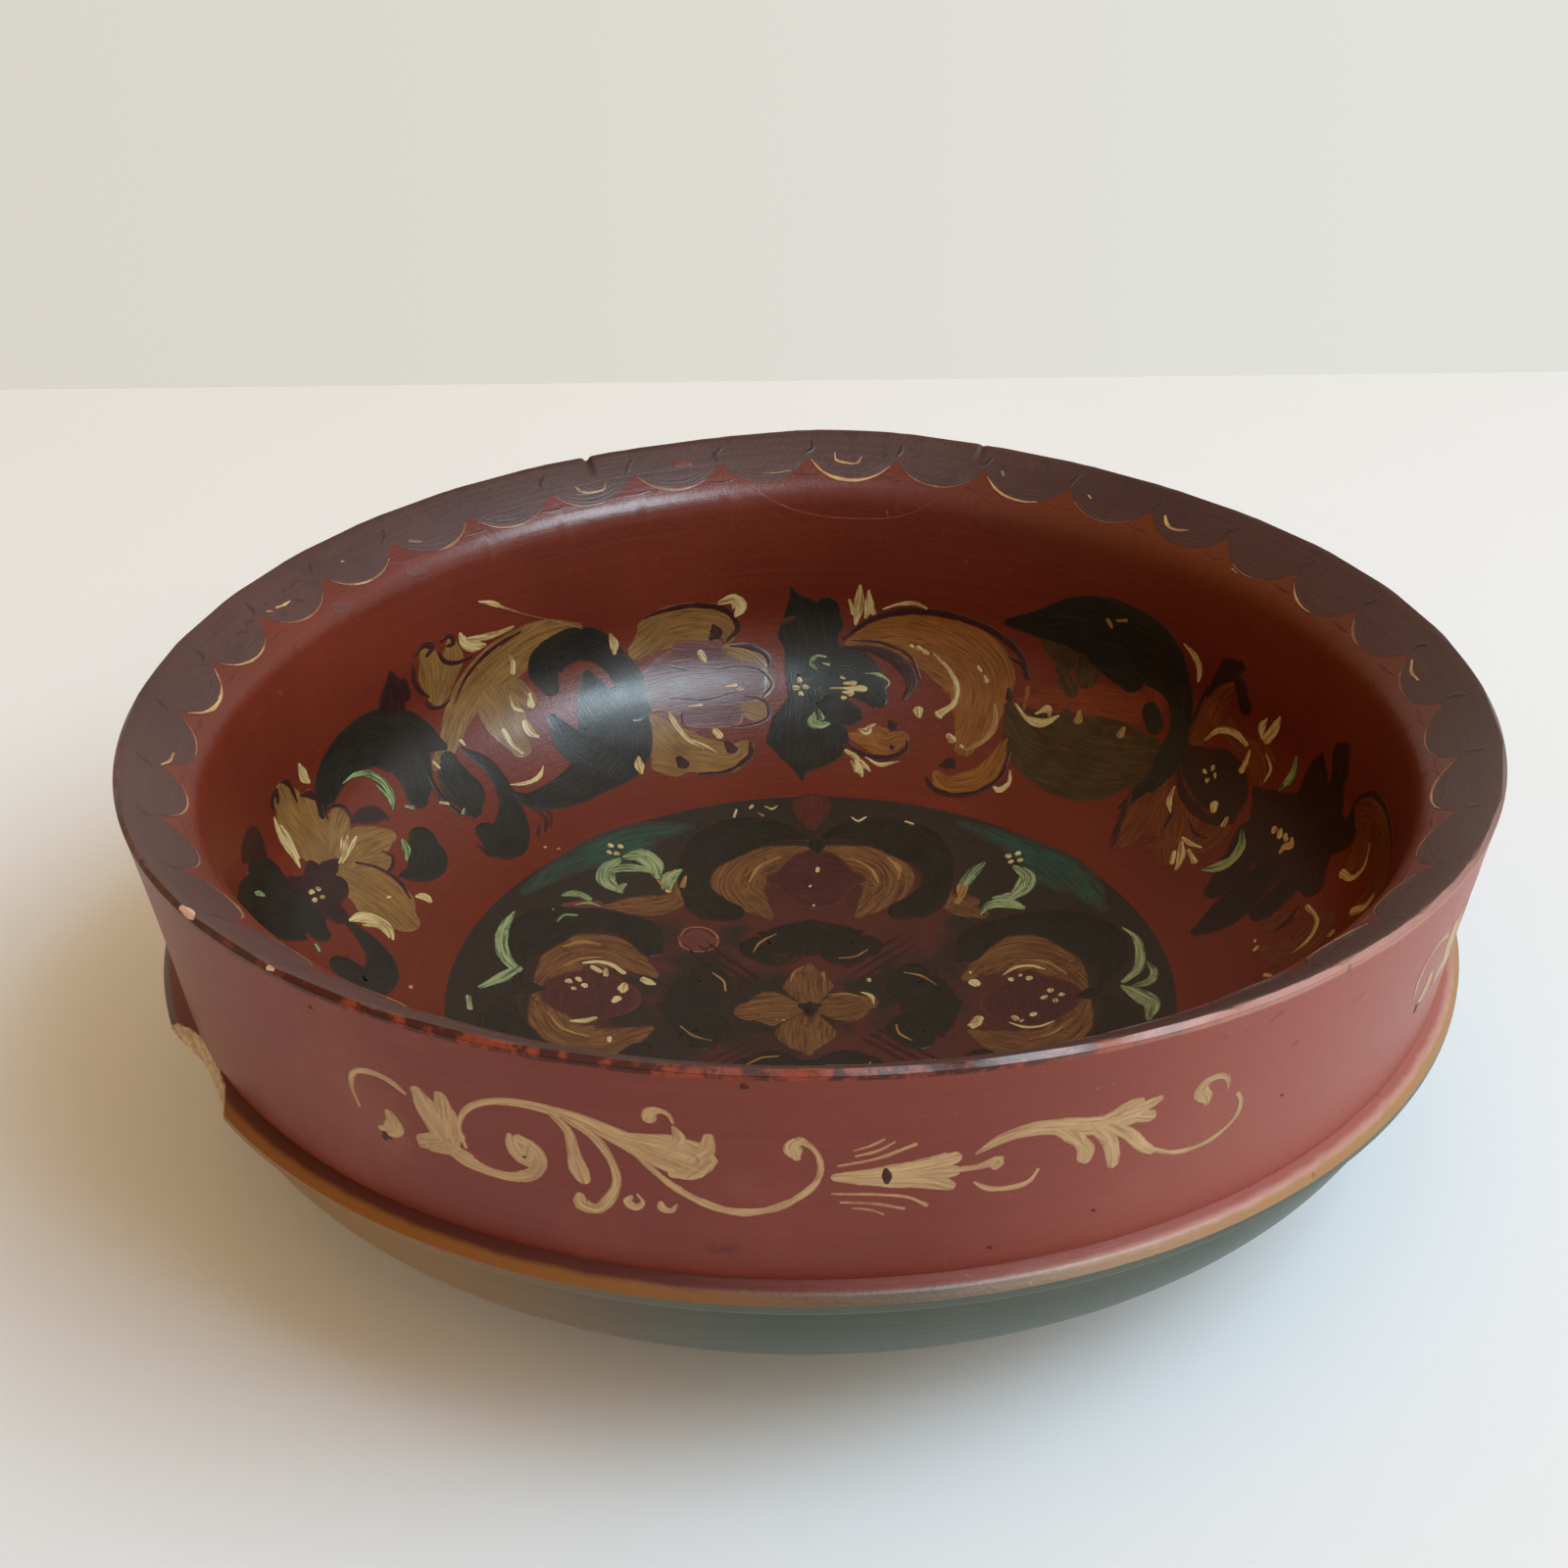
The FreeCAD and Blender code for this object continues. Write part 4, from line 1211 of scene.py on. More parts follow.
# %% [markdown]
# ## The round on the floor
#
# Four round flowers stand round a small one, with dark leaves hooked over them and pale palmettes between.
# The painter turned the bowl and repeated the same fourfold plan, but no two are quite the same.

# %% Motifs of the floor, in millimetres right and away
TULIP = {
    "purple": (((-9, 57, 3), (-4, 57, 11), (2, 57, 13.4), (8, 57, 11), (13, 57, 3)),),
    "ochre": (
        ((0, 70.5, 1.4), (-8, 67.6, 4.4), (-17, 61.6, 8.4), (-19.4, 54, 8), (-15, 46, 4.6), (-11, 41, 1.6)),
        ((3.6, 70.5, 1.4), (11, 67.4, 4.4), (19.6, 61.4, 8.2), (21.6, 53.6, 7.6), (17.6, 46, 4.4),
         (13.6, 41, 1.6)),
    ),
    "dark": (
        ((-0.8, 75, 1.4), (-8, 77.8, 4.6), (-17, 77, 7.4), (-26, 71.6, 8), (-31.6, 62, 5.6), (-31.4, 52, 4.6),
         (-27, 44.6, 5.6), (-21.6, 42.4, 4)),
        ((4.4, 75, 1.4), (12, 77.6, 4.6), (21, 76.6, 7.2), (30, 71, 8), (35.6, 62, 5.6), (35.4, 52, 4.6),
         (31, 44.6, 5.6), (25.6, 42.4, 4)), ((1.8, 76, 0.8), (2.4, 71.6, 2.7), (2.8, 68.6, 0.8)),
    ),
    "glint": (
        ((-8, 66.8, 0.3), (-14, 62.4, 0.6), (-16.6, 56, 0.4)),
        ((12, 66, 0.3), (17.4, 61, 0.6), (19.4, 55, 0.4)),
        ((22.4, 65.6, 0.4), (25.4, 60.4, 0.9), (25, 56, 0.4)),
    ),
}
TULIP_TOP = {
    "red": (((1, 80, 2), (1, 84, 4.6), (1, 88, 6)),),
    "cream": (
        ((2.6, 61.8, 0.7), (2.5, 60.4, 0.6)), ((0.4, 54, 0.6), (0.3, 53.8, 0.5)),
        ((1.4, 45.6, 0.5), (1.3, 45.2, 0.4)), ((-21.4, 83.8, 0.5), (-20.8, 86.6, 0.6)),
        ((-16.8, 87.6, 0.5), (-16.2, 88.6, 0.6)), ((-12.4, 88.4, 0.3), (-10.4, 87.4, 0.5), (-9, 88.6, 0.3)),
        ((-14.4, 85.6, 0.3), (-13, 84.6, 0.4)), ((12.6, 83.4, 0.3), (14.4, 81.8, 0.6), (16.6, 83.2, 0.4)),
        ((28, 80.6, 0.4), (30, 79.4, 0.6)),
    ),
}
TULIP_LEFT = {
    "cream": (
        ((16, 59.6, 0.5), (17.2, 56, 1), (16.6, 52.6, 0.9), (13.4, 49, 1)), ((14.6, 57, 1), (13, 55, 0.8)),
        ((14, 53.6, 0.8), (11.6, 53.4, 0.8)), ((8.8, 60.4, 1.1), (8.2, 60, 0.9)),
        ((7.4, 62.8, 1.1), (7, 62.4, 0.9)), ((6.2, 58.6, 1.1), (5.8, 58.4, 0.9)),
        ((4.4, 61.2, 0.9), (4.2, 61, 0.7)), ((8, 48.4, 1.2), (6, 48.6, 1.7), (5, 48.6, 0.9)),
        ((1.6, 49.8, 1.5), (0.4, 50.4, 1.1)), ((11, 43.4, 1.4), (9.8, 41.6, 1.5), (9.4, 40.8, 0.7)),
        ((-10.4, 60.6, 0.5), (-9.8, 57.4, 1.4), (-8, 54.8, 0.8)), ((-16.4, 50.4, 0.8), (-18, 50.4, 0.6)),
    ),
}
TULIP_RIGHT = {
    "cream": (
        ((-10.6, 50.6, 0.3), (-13.4, 54.4, 0.7), (-13.2, 58.4, 0.6), (-11, 61.4, 0.3)),
        ((11, 50.6, 0.3), (13.8, 54.4, 0.7), (14, 58, 0.6), (12.6, 61.4, 0.3)),
        ((-8.4, 52.4, 0.9), (-8, 52.6, 0.8)), ((-8, 57.2, 1.1), (-7.6, 57, 0.9)),
        ((-9.6, 55, 0.7), (-9.4, 55, 0.5)), ((1.4, 60, 1.1), (1.2, 60.4, 0.9)),
        ((3.4, 62.8, 1.1), (3.1, 62.8, 0.9)), ((-1.4, 62, 1.1), (-1.1, 62, 0.9)),
        ((1, 64.6, 1), (0.8, 64.6, 0.8)), ((-8.6, 42.8, 1.7), (-7.8, 43.4, 1.4)),
        ((-13, 42.2, 0.7), (-12.8, 42.2, 0.5)), ((9.6, 42.2, 2), (8, 42.8, 1.8)),
        ((11, 41.4, 1.2), (10.4, 40.6, 0.9)), ((8.6, 51.8, 0.9), (9.6, 52.4, 0.9)),
        ((8.4, 56.6, 1.1), (8.2, 57, 0.9)), ((10.6, 53.4, 0.7), (10.4, 53.8, 0.5)),
    ),
}
HEART = {
    "dark": (
        ((0, 37.6, 2), (-5, 32, 6.2), (-10.6, 26.6, 7.8), (-13.6, 27, 5.2)),
        ((1, 37.6, 2), (6, 32, 6.2), (11.6, 26.6, 7.8), (14.6, 27, 5.2)),
        ((0.4, 36, 2), (0.5, 31, 6), (0.5, 26.6, 3.4)), ((-16.6, 28.6, 1.6), (-14, 27, 4)),
        ((17.6, 28.6, 1.6), (15, 27, 4)),
    ),
    "glint": (
        ((-9, 33, 0.3), (-13.4, 29, 0.5), (-15, 25, 0.3)), ((8, 22, 0.3), (12, 22.6, 0.5), (15.6, 25.6, 0.3)),
    ),
}
CENTRE_FLOWER = {
    "ochre": (
        ((0, 3, 3), (-0.4, 10.6, 6.6), (-0.4, 16, 3.6), (0, 19.6, 0.8)),
        ((-3, 0, 3), (-10.6, 0, 8), (-15.6, -1, 4.2)), ((3, 0, 3), (10, 1, 7), (14.6, 2.6, 3.4)),
        ((0, -3, 3), (-1, -11, 8), (-1, -17, 5), (-0.6, -20, 1.6)),
    ),
    "dark": (((-2.4, 1.6, 0.9), (0, 0.4, 2.4), (2.4, 1.6, 0.9)), ((0, 0, 2), (0, -3, 1.2))),
    "cream": (
        ((13.4, 7, 0.3), (15.8, 5.6, 0.8), (16.6, 1.6, 0.3)), ((15.6, 12.4, 0.9), (15.6, 12, 0.7)),
        ((-8.6, -4.8, 0.4), (-8.3, -4.9, 0.3)), ((-7, -5, 0.4), (-6.6, -5, 0.3)),
    ),
    "glint": (
        ((-5, 12, 0.2), (-4, 16, 0.5), (-1.6, 18.6, 0.2)), ((4, 12, 0.2), (3.6, 15.6, 0.5)),
        ((5, 6, 0.2), (10, 6.4, 0.5), (14, 4.6, 0.2)),
    ),
}
PALMETTE = {
    "ochre": (
        ((-55, 41.6, 1.4), (-47.6, 43, 4.2), (-40.4, 44.4, 4.4), (-35.4, 47.6, 2.8)),
        ((-35.6, 60, 1.2), (-34.8, 53, 2.8), (-36, 47, 2)),
    ),
    "pale": (
        ((-53.6, 62, 1.2), (-56.2, 58, 2.4), (-56, 52.6, 2.7), (-52, 48.8, 0.9)),
        ((-51, 64, 1.4), (-47.6, 65, 2.9), (-43.6, 61.4, 3), (-42.4, 56.6, 1.3)),
        ((-36, 59.6, 0.8), (-38.8, 56.4, 2.3), (-39.4, 52, 1.7)),
        ((-55, 58, 1.6), (-50.4, 59.4, 1.8), (-45, 59, 1.3)), ((-51, 52, 0.7), (-52.6, 50, 1.4)),
    ),
    "glint": (
        ((-42, 55, 0.4), (-38.8, 50.6, 1)), ((-40, 57, 0.3), (-37.4, 59.6, 0.6)),
        ((-34.4, 57, 0.5), (-35, 53, 1)),
    ),
    "cream": (
        ((-56, 68.2, 1.1), (-55.8, 68, 0.9)), ((-53.2, 68.2, 1.1), (-53, 68, 0.9)),
        ((-56.2, 65.2, 1), (-56, 65, 0.9)), ((-54, 65, 1.1), (-53.8, 64.9, 0.9)),
        ((-39, 50.4, 0.8), (-38.8, 50.2, 0.5)),
    ),
    "green": (
        ((-67.4, 44.6, 0.7), (-64, 46, 1.8), (-60.6, 44.4, 1.4)), ((-69.4, 38, 0.4), (-69.6, 37.8, 0.3)),
        ((-64, 41, 0.3), (-60, 42.6, 0.6), (-57, 41.4, 0.4)),
        ((-68, 33, 0.4), (-66.4, 36, 0.9), (-63, 36.6, 0.5)),
    ),
    "rose": (((-66, 40, 1.6), (-61, 40.4, 3.4), (-58, 42, 2)),),
}
PALMETTE_RIGHT = {
    "ochre": (((37.4, 52.4, 2), (37.8, 46, 3), (42, 41, 3), (47, 38, 2)), ((41, 46, 2), (44.6, 44, 2.4))),
    "pale": (
        ((57.4, 57, 0.8), (60.4, 52.6, 2.3), (58.6, 47, 2.6), (55.4, 44, 1.2)),
        ((49, 60, 0.7), (46, 56.6, 1.8), (43.6, 52.8, 1.8)),
        ((46.8, 38.4, 0.6), (49.6, 41.6, 1.6), (54, 41.8, 2.3), (58, 39, 1)),
        ((51, 44.6, 0.8), (54.6, 45, 1.3)),
    ),
    "glint": (((43, 53, 1.1), (42.4, 50, 1.6), (41.6, 46.6, 0.7)), ((42.8, 48, 0.9), (40.6, 44.2, 0.9))),
    "cream": (
        ((56, 62, 1.1), (55.8, 61.8, 0.9)), ((58.8, 62.6, 1.1), (58.6, 62.4, 0.9)),
        ((56.6, 59.4, 1), (56.4, 59.2, 0.9)), ((59.2, 59.6, 1), (59, 59.5, 0.9)),
    ),
}
SHELL = {
    "pale": (
        ((83.2, 24, 0.3), (85.6, 20, 0.9), (86.2, 12, 1.3), (84.4, 4.6, 1.5), (80.4, 0.6, 0.7)),
        ((80, -1.4, 0.7), (83.4, -6, 2.4), (86, -11, 2.4), (84.4, -17.6, 0.8)),
        ((87.6, 7, 0.6), (88.6, 3, 1), (86.4, -1.4, 1.4), (83, -2, 0.9)),
    ),
}
RIBBON = {
    "pale": (
        ((-79.6, 34.6, 0.4), (-81.4, 28, 1.5), (-81.4, 20, 1.9), (-79, 13, 1.9), (-76.4, 9.6, 1.4)),
        ((-76.4, 10, 1.6), (-79.6, 5.4, 1.9), (-84.6, -0.4, 0.7)), ((-87, -5.4, 0.7), (-86, -10.4, 0.9)),
    ),
}
RING_LINE = {
    "rose": (((-34.6, 30, 1.2), (-30, 30, 4.6), (-25.6, 30, 1.2)),),
    "blush": (
        ((-35.2, 30.6, 0.25), (-33, 34.8, 0.35), (-28.6, 35.4, 0.35), (-24.9, 31.8, 0.35),
         (-25.4, 26.8, 0.35), (-29.8, 24.8, 0.35), (-34.2, 26.8, 0.35), (-35.2, 30.4, 0.25)),
    ),
}
DIAGONAL = {"slate": tuple(
    ((12 + k, 15.4 - k, 0.4), (19.4 + k, 22.6 - k, 0.6), (27.4 + k, 29.6 - k, 0.3)) for k in (-2.2, 0, 2))}
TEAL_PATCH = {
    "teal": (
        ((44, 78, 1.6), (54, 70.6, 3.6), (63, 62.6, 4.4), (70, 54, 5.4), (75.6, 44, 4.6), (79, 34, 1.6)),
        ((56, 66, 2), (62, 60, 4), (66, 52, 5), (70, 46, 3)),
    ),
}

FLOOR_PLAN = (
    (0, (TULIP, TULIP_TOP, HEART)), (90, (TULIP, TULIP_LEFT, HEART)), (-90, (TULIP, TULIP_RIGHT, HEART)),
    (180, (TULIP, TULIP_TOP, HEART)),
    (0, (CENTRE_FLOWER, PALMETTE, PALMETTE_RIGHT, SHELL, RIBBON, RING_LINE, DIAGONAL, TEAL_PATCH)),
    (90, (TEAL_PATCH, DIAGONAL)), (180, (PALMETTE, PALMETTE_RIGHT, DIAGONAL, TEAL_PATCH)),
    (-90, (TEAL_PATCH, DIAGONAL)),
)

# %% [markdown]
# ## The row of scrolls on the collar
#
# Outside, a single colour is enough: cream scrolls on the red, each one a thin tail that ends in a full leaf.

# %% Motifs of the collar, in degrees and millimetres down from the rim
COLLAR_ROW = {
    "buff": (
        ((240.6, 18.8, 0.5), (239.4, 16.8, 0.9), (237.6, 16.4, 0.8), (236, 18.4, 0.7), (235.4, 22, 0.7),
         (235.6, 27.6, 0.4)), ((238.6, 26.6, 1.4), (238.8, 29, 2.2), (238, 31.4, 1.8), (237.4, 31.6, 0.9)),
        ((241.8, 17.4, 1.6), (242.2, 20, 2.8), (243, 25, 3.4), (243.4, 29, 3.2), (242, 31, 2)),
        ((243.8, 16.8, 1.5), (243.8, 20, 2.4), (243.6, 25, 2.8)), ((244.4, 20, 1), (244.4, 26, 2)),
        ((241.2, 30.6, 1.6), (242.6, 29.4, 2.2)), ((241, 32, 0.9), (243, 30.6, 1.8), (245, 31.4, 1.6)),
        ((243.4, 29.6, 2.4), (245, 32.4, 1.9), (247, 33.8, 1.2), (249, 33.2, 1.4), (250.4, 30.8, 1.5),
         (250.9, 27.6, 1.6), (250.6, 24.6, 1.6), (249.6, 22.8, 1.2)),
        ((248.9, 22.6, 0.8), (249, 25, 1.8), (249.8, 27.6, 2.2), (250.2, 25, 2)),
        ((245, 28.6, 0.5), (244.8, 24, 0.5), (245.4, 19.6, 0.7), (247, 15.6, 0.8), (249.4, 13.4, 1),
         (252, 13.4, 1.2), (254.6, 14.8, 1.6), (257, 17.8, 2.2), (259.4, 21, 3.2), (261.6, 23.4, 3.4)),
        ((257, 17.4, 0.8), (259, 18, 2), (261, 19, 3), (262.4, 21.6, 3.6), (261.8, 24.8, 2.2)),
        ((260.9, 13.8, 0.5), (261.2, 16.4, 1.4), (260.6, 19, 2.4)),
        ((263.2, 15.8, 1.1), (263, 18.6, 1.8), (262.2, 21, 2.2)),
        ((262.8, 22.6, 1.6), (262.2, 24.8, 1.8), (260.6, 25.8, 1.1)),
        ((260.9, 12.6, 0.3), (260.6, 10.6, 0.5), (260, 9.9, 0.8), (259.4, 10.6, 1.4), (259.3, 12, 1.3)),
        ((252.4, 14.4, 0.7), (253.4, 18, 1.1), (253.6, 23, 1.3), (253.8, 28, 2), (254, 30, 1.6)),
        ((253.2, 14.6, 0.7), (255.2, 18.4, 1.1), (256.2, 23.6, 0.9), (256.5, 29.6, 0.9), (255.8, 34.4, 1.2),
         (254.6, 37.8, 1.4), (253.6, 36.8, 1.9), (253.6, 35, 1)),
        ((257.9, 32.4, 0.3), (258.2, 34.2, 0.5), (257.6, 35.8, 0.9), (257.1, 34.4, 1), (257.4, 33.2, 0.5)),
        ((260.6, 34, 0.3), (260.2, 35.6, 0.7), (259.6, 35.2, 1), (259.5, 33.8, 0.5)),
        ((257.2, 19, 0.5), (258.6, 23.4, 0.7), (260, 27.8, 0.8), (262, 32, 0.9), (264.6, 34.6, 1),
         (267, 33.8, 0.9), (269, 30.6, 0.8), (270.4, 26, 0.7), (270.6, 21.4, 0.6), (270, 17.4, 0.6),
         (269.2, 15.6, 0.8)), ((269.3, 15.8, 0.9), (268.8, 17, 1.5), (268.9, 19.2, 1.6), (269, 20, 0.9)),
        ((271.6, 25.2, 0.9), (274.6, 24.6, 1.6), (278, 23.4, 2), (279.6, 22.2, 1.6)),
        ((271.7, 25.6, 0.9), (275, 26.4, 1.9), (278.4, 27.8, 2), (279.4, 29.2, 1.4)),
        ((274, 25.4, 1.4), (278, 25.4, 2.2), (279.6, 25.6, 1.6)), ((276, 23.4, 0.6), (279, 21.6, 1)),
        ((279.6, 25.4, 0.7), (281.4, 25.2, 0.8), (282.8, 24.6, 1.3), (282.6, 25.6, 1)),
        ((281.2, 29.2, 0.3), (282, 31, 0.6), (283.6, 31.9, 0.7), (285.2, 31, 0.6), (285.7, 28.4, 0.4)),
        ((281.2, 21.6, 0.4), (282.8, 18.8, 1.3), (285.2, 17.4, 1.8), (287.6, 18.4, 2.2), (290, 19.8, 2.4),
         (292.4, 19.4, 2.2)), ((290.4, 18.2, 1), (292, 16.4, 1.3), (292.8, 15.9, 1)),
        ((292, 18, 1.4), (293.8, 17.2, 1.3), (294.4, 16.6, 0.8)), ((292.6, 19.4, 1.6), (293.8, 20.6, 1.6)),
        ((287, 19, 1.4), (288.4, 22.4, 1.6), (289.4, 26.4, 1.3), (289.3, 28.2, 1.1)),
        ((288, 19.6, 1.4), (288.8, 24, 1.3), (289, 27.6, 1.2)),
        ((289.6, 20, 1.6), (290.8, 24, 1.6), (291.4, 29, 1.6), (291.5, 31, 1.2)),
        ((291, 20.8, 1.6), (292.6, 24.6, 1.4), (293.8, 28.6, 1.4), (294.6, 30.4, 0.9)),
        ((294.6, 30, 0.5), (296.4, 32.6, 0.6), (298.6, 33.4, 0.7), (300.6, 31.8, 0.7), (301.9, 28, 0.6),
         (301.9, 24.6, 0.6), (301.4, 22.4, 0.5)),
        ((300.3, 19.8, 0.3), (300.1, 17.2, 0.6), (299.2, 15.5, 0.8), (298, 16.4, 1.3), (297.9, 18.4, 1.8),
         (298.5, 20.6, 1.5), (298.6, 21.8, 0.7)),
    ),
    "fine": (
        ((271.8, 22.4, 0.3), (274.4, 20.8, 0.4), (276.9, 17.8, 0.5)),
        ((273, 20, 0.3), (274.6, 18.6, 0.4), (275.5, 16.9, 0.3)),
        ((272.8, 18.6, 0.2), (274, 17.4, 0.3), (274.8, 16, 0.3)),
        ((271.4, 29.6, 0.3), (274.6, 30.2, 0.4), (276.8, 31.6, 0.4), (277.9, 33.8, 0.5)),
        ((272, 31.8, 0.3), (274.4, 32.6, 0.4), (276.3, 34.2, 0.4)),
        ((272.8, 33.4, 0.2), (274, 34, 0.3), (274.9, 35.4, 0.3)),
    ),
    "line": (
        ((275, 23.8, 0.5), (275.1, 25.8, 0.9), (275.1, 27, 0.5)), ((237.6, 32.8, 0.8), (237.5, 33.8, 0.9)),
    ),
}
COLLAR_TURNS = (0.0, 88.0, 176.0, 256.0)
COLLAR_SPOTS = {"line": tuple(
    ((u, v, half), (u + 0.2, v + 0.2, half * 0.8)) for u, v, half in (
        (233.3, 4.6, 0.35), (265.7, 2.4, 0.6), (282.7, 47.2, 0.35), (306.2, 28.7, 0.3), (290.5, 42.7, 0.3),
        (237.9, 33.5, 0.3)
    ))}

# %% [markdown]
# ## Where the motifs go
#
# The far half of the garland is painted as the photograph shows it. The near half, which hides behind the
# rim, gets the same motifs turned by half a circle, as a painter who knows the pattern would go on.

# %% Gathering strokes by colour
FAR_ONLY_LEFT = (LEFT_LEAF, LEFT_FLOWER)
FAR_ONLY_RIGHT = (PURPLE_LEAF, END_SCROLL)
MIDDLE = (GREEN_SCROLL, OCHRE_SCROLL, ROUND_SCROLL, ROSE, BUTTERFLY, GOLD_SCROLL, CAP_SCROLL, RIGHT_FLOWER)
BRUSH_PRESS = {"cream": 0.85, "green": 0.85}


def gather(plan):
    """Marks by colour from a plan of (chart, motifs), with the half widths as hard as that brush presses."""
    marks = {}
    for chart, motifs in plan:
        for motif in motifs:
            for colour_name, knots in motif.items():
                press = BRUSH_PRESS.get(colour_name, 1.0)
                marks.setdefault(colour_name, []).extend(
                    (chart, [(u, v, half * press) for u, v, half in knot]) for knot in knots)
    return marks


WALL = WallChart(inside)
wall_marks = gather([(WALL, FAR_ONLY_LEFT + MIDDLE + FAR_ONLY_RIGHT), (WallChart(inside, 180.0), MIDDLE)])
floor_marks = gather([(FloorChart(turn), motifs) for turn, motifs in FLOOR_PLAN])
collar_rows = [(WallChart(outside, turn), (COLLAR_ROW,)) for turn in COLLAR_TURNS]
collar_marks = gather([*collar_rows, (WallChart(outside), (COLLAR_SPOTS,))])
print({name: len(marks) for name, marks in wall_marks.items()})

# %% [markdown]
# ## Marks on the rim band
#
# Every scallop of the rim band is a comma stroke of its own: a pale crescent under its edge, brightest on the
# left where the brush was set down, thin dark rings inside it, and a dark dab where it meets the next. Most
# crescents are worn, so each has its own reach to the left and right of the scallop's middle, in degrees.

# %% Crescents, rings and dabs
LOBE = 360.0 / SCALLOPS
RIM_CRESCENTS = {
    "cream": ((17, 4.3, 4.4, 0.62), (8, 4.7, 4.3, 0.72), (6, 4.5, 2, 0.55), (2, 4.2, 0.6, 0.42),
              (-2, 4.4, 3.4, 0.5), (16, 4.3, 3, 0.42), (14, 4.4, 3.6, 0.42), (-5, 4.2, 2.5, 0.5),
              (-9, 4.2, 3.5, 0.5), (-13, 4, 1.5, 0.45)),
    "tan": ((18, 0.6, 4.4, 0.36), (15, 3.6, 3.8, 0.3), (13, 0.4, 4.5, 0.5), (12, 4.2, 3.4, 0.42),
            (11, 4.4, 1.2, 0.45), (10, 4.6, 3, 0.6), (9, 3.6, 1.8, 0.2), (7, 4.3, 3.6, 0.32),
            (5, 3.8, 3.2, 0.26), (3, 2.4, 2.2, 0.2), (1, 4.2, -0.6, 0.5), (0, 4.3, 1.4, 0.32),
            (-1, 3, 3, 0.25), (-3, 4.2, 2, 0.3), (-4, 4, 3.6, 0.3), (-6, 4.2, 3, 0.32), (-7, 4, 2, 0.4),
            (-8, 3, 3, 0.25), (-10, 4.2, 3.4, 0.4), (-11, 4, 1, 0.35), (-12, 4.2, 3.2, 0.4),
            (-14, 4.2, 3, 0.3), (-15, 4, 3.6, 0.45), (-16, 4.2, 2, 0.3), (-17, 4.2, 3.4, 0.4)),
}
RIM_DABS = {
    "cream": (
        ((189.6, 202.6, 0.3), (188.4, 201, 0.55), (186.6, 200.4, 0.3)),
        ((158.2, 203.6, 0.6), (157.8, 203, 0.5)), ((157, 203, 0.5), (155.8, 202.4, 0.55), (155, 202.4, 0.3)),
        ((137.4, 201.8, 0.5), (136.6, 200.6, 0.6), (136.2, 200.2, 0.3)),
        ((146, 204.6, 0.4), (145.8, 204.4, 0.3)),
        ((116.4, 203.4, 0.3), (116, 201.2, 0.6), (114.6, 200.2, 0.5), (113.2, 200.8, 0.4),
         (112.8, 202.8, 0.2)), ((94.9, 198.6, 0.25), (93, 198.4, 0.3), (91.6, 198.9, 0.2)),
        ((86.6, 204.4, 0.2), (86.5, 202.2, 0.5), (85.3, 201, 0.5), (84, 201.3, 0.45), (83.6, 203.4, 0.25)),
        ((67.6, 204.4, 0.6), (67.4, 203.4, 0.5)), ((57.2, 202.8, 0.4), (56.8, 202.2, 0.35)),
        ((47.8, 203.4, 0.5), (47.2, 201.4, 0.7), (46, 200.4, 0.6), (44.4, 201.6, 0.3)),
        ((36.6, 195.8, 0.3), (35.8, 195.2, 0.25)), ((8.4, 203, 0.5), (7, 201.2, 0.55), (5.2, 201.2, 0.4)),
        ((131.6, 177.8, 0.4), (130, 176.2, 1), (128.4, 173.6, 0.5), (126, 170, 0.16), (122, 165, 0.12),
         (118.4, 160.4, 0.1)), ((183.5, 102.5, 0.7), (183.3, 102.4, 0.6)),
        ((139.2, 98.8, 0.6), (139, 98.8, 0.5)), ((137.6, 96, 0.6), (137.4, 96, 0.5)),
    ),
    "blush": (
        ((97.6, 197, 0.08), (95.6, 193, 0.1), (92.5, 188.4, 0.14), (88.5, 185.4, 0.16), (84, 184.6, 0.16),
         (80, 185.4, 0.14), (76.4, 188.6, 0.1), (74.4, 192, 0.08)), ((80.2, 187.6, 0.2), (80, 185.6, 0.2)),
    ),
    "chip": (
        ((220, RIM_LENGTH - 0.6, 0.25), (219.2, RIM_LENGTH - 0.9, 0.9), (218, RIM_LENGTH - 0.7, 0.5)),
        ((230.1, RIM_LENGTH - 0.6, 0.3), (229.6, RIM_LENGTH - 0.5, 0.5)),
    ),
    "smudge": (
        ((139.6, 193.6, 1.4), (138, 191.8, 1)), ((150.8, 194, 1.8), (149.4, 192.8, 1.2)),
        ((164.2, 184.6, 0.9), (163.8, 184, 0.7)), ((104.2, 205.4, 1.6), (103.2, 205, 1.4)),
    ),
}


def crescent(lobe, left, right, half, inset=0.0):
    """Stroke along a scallop's edge, and inset from it. It swells as the sine of its share of the way."""
    share = np.linspace(0, 1, 7)
    angle = LOBE * (lobe + 0.5) + math.degrees(SCALLOP_TURN) + left - (left + right) * share
    swell = half * (0.28 + 0.64 * np.sin(np.pi * share**0.75))
    return np.stack([angle, scallop(np.radians(angle)) + inset, swell], 1).tolist()


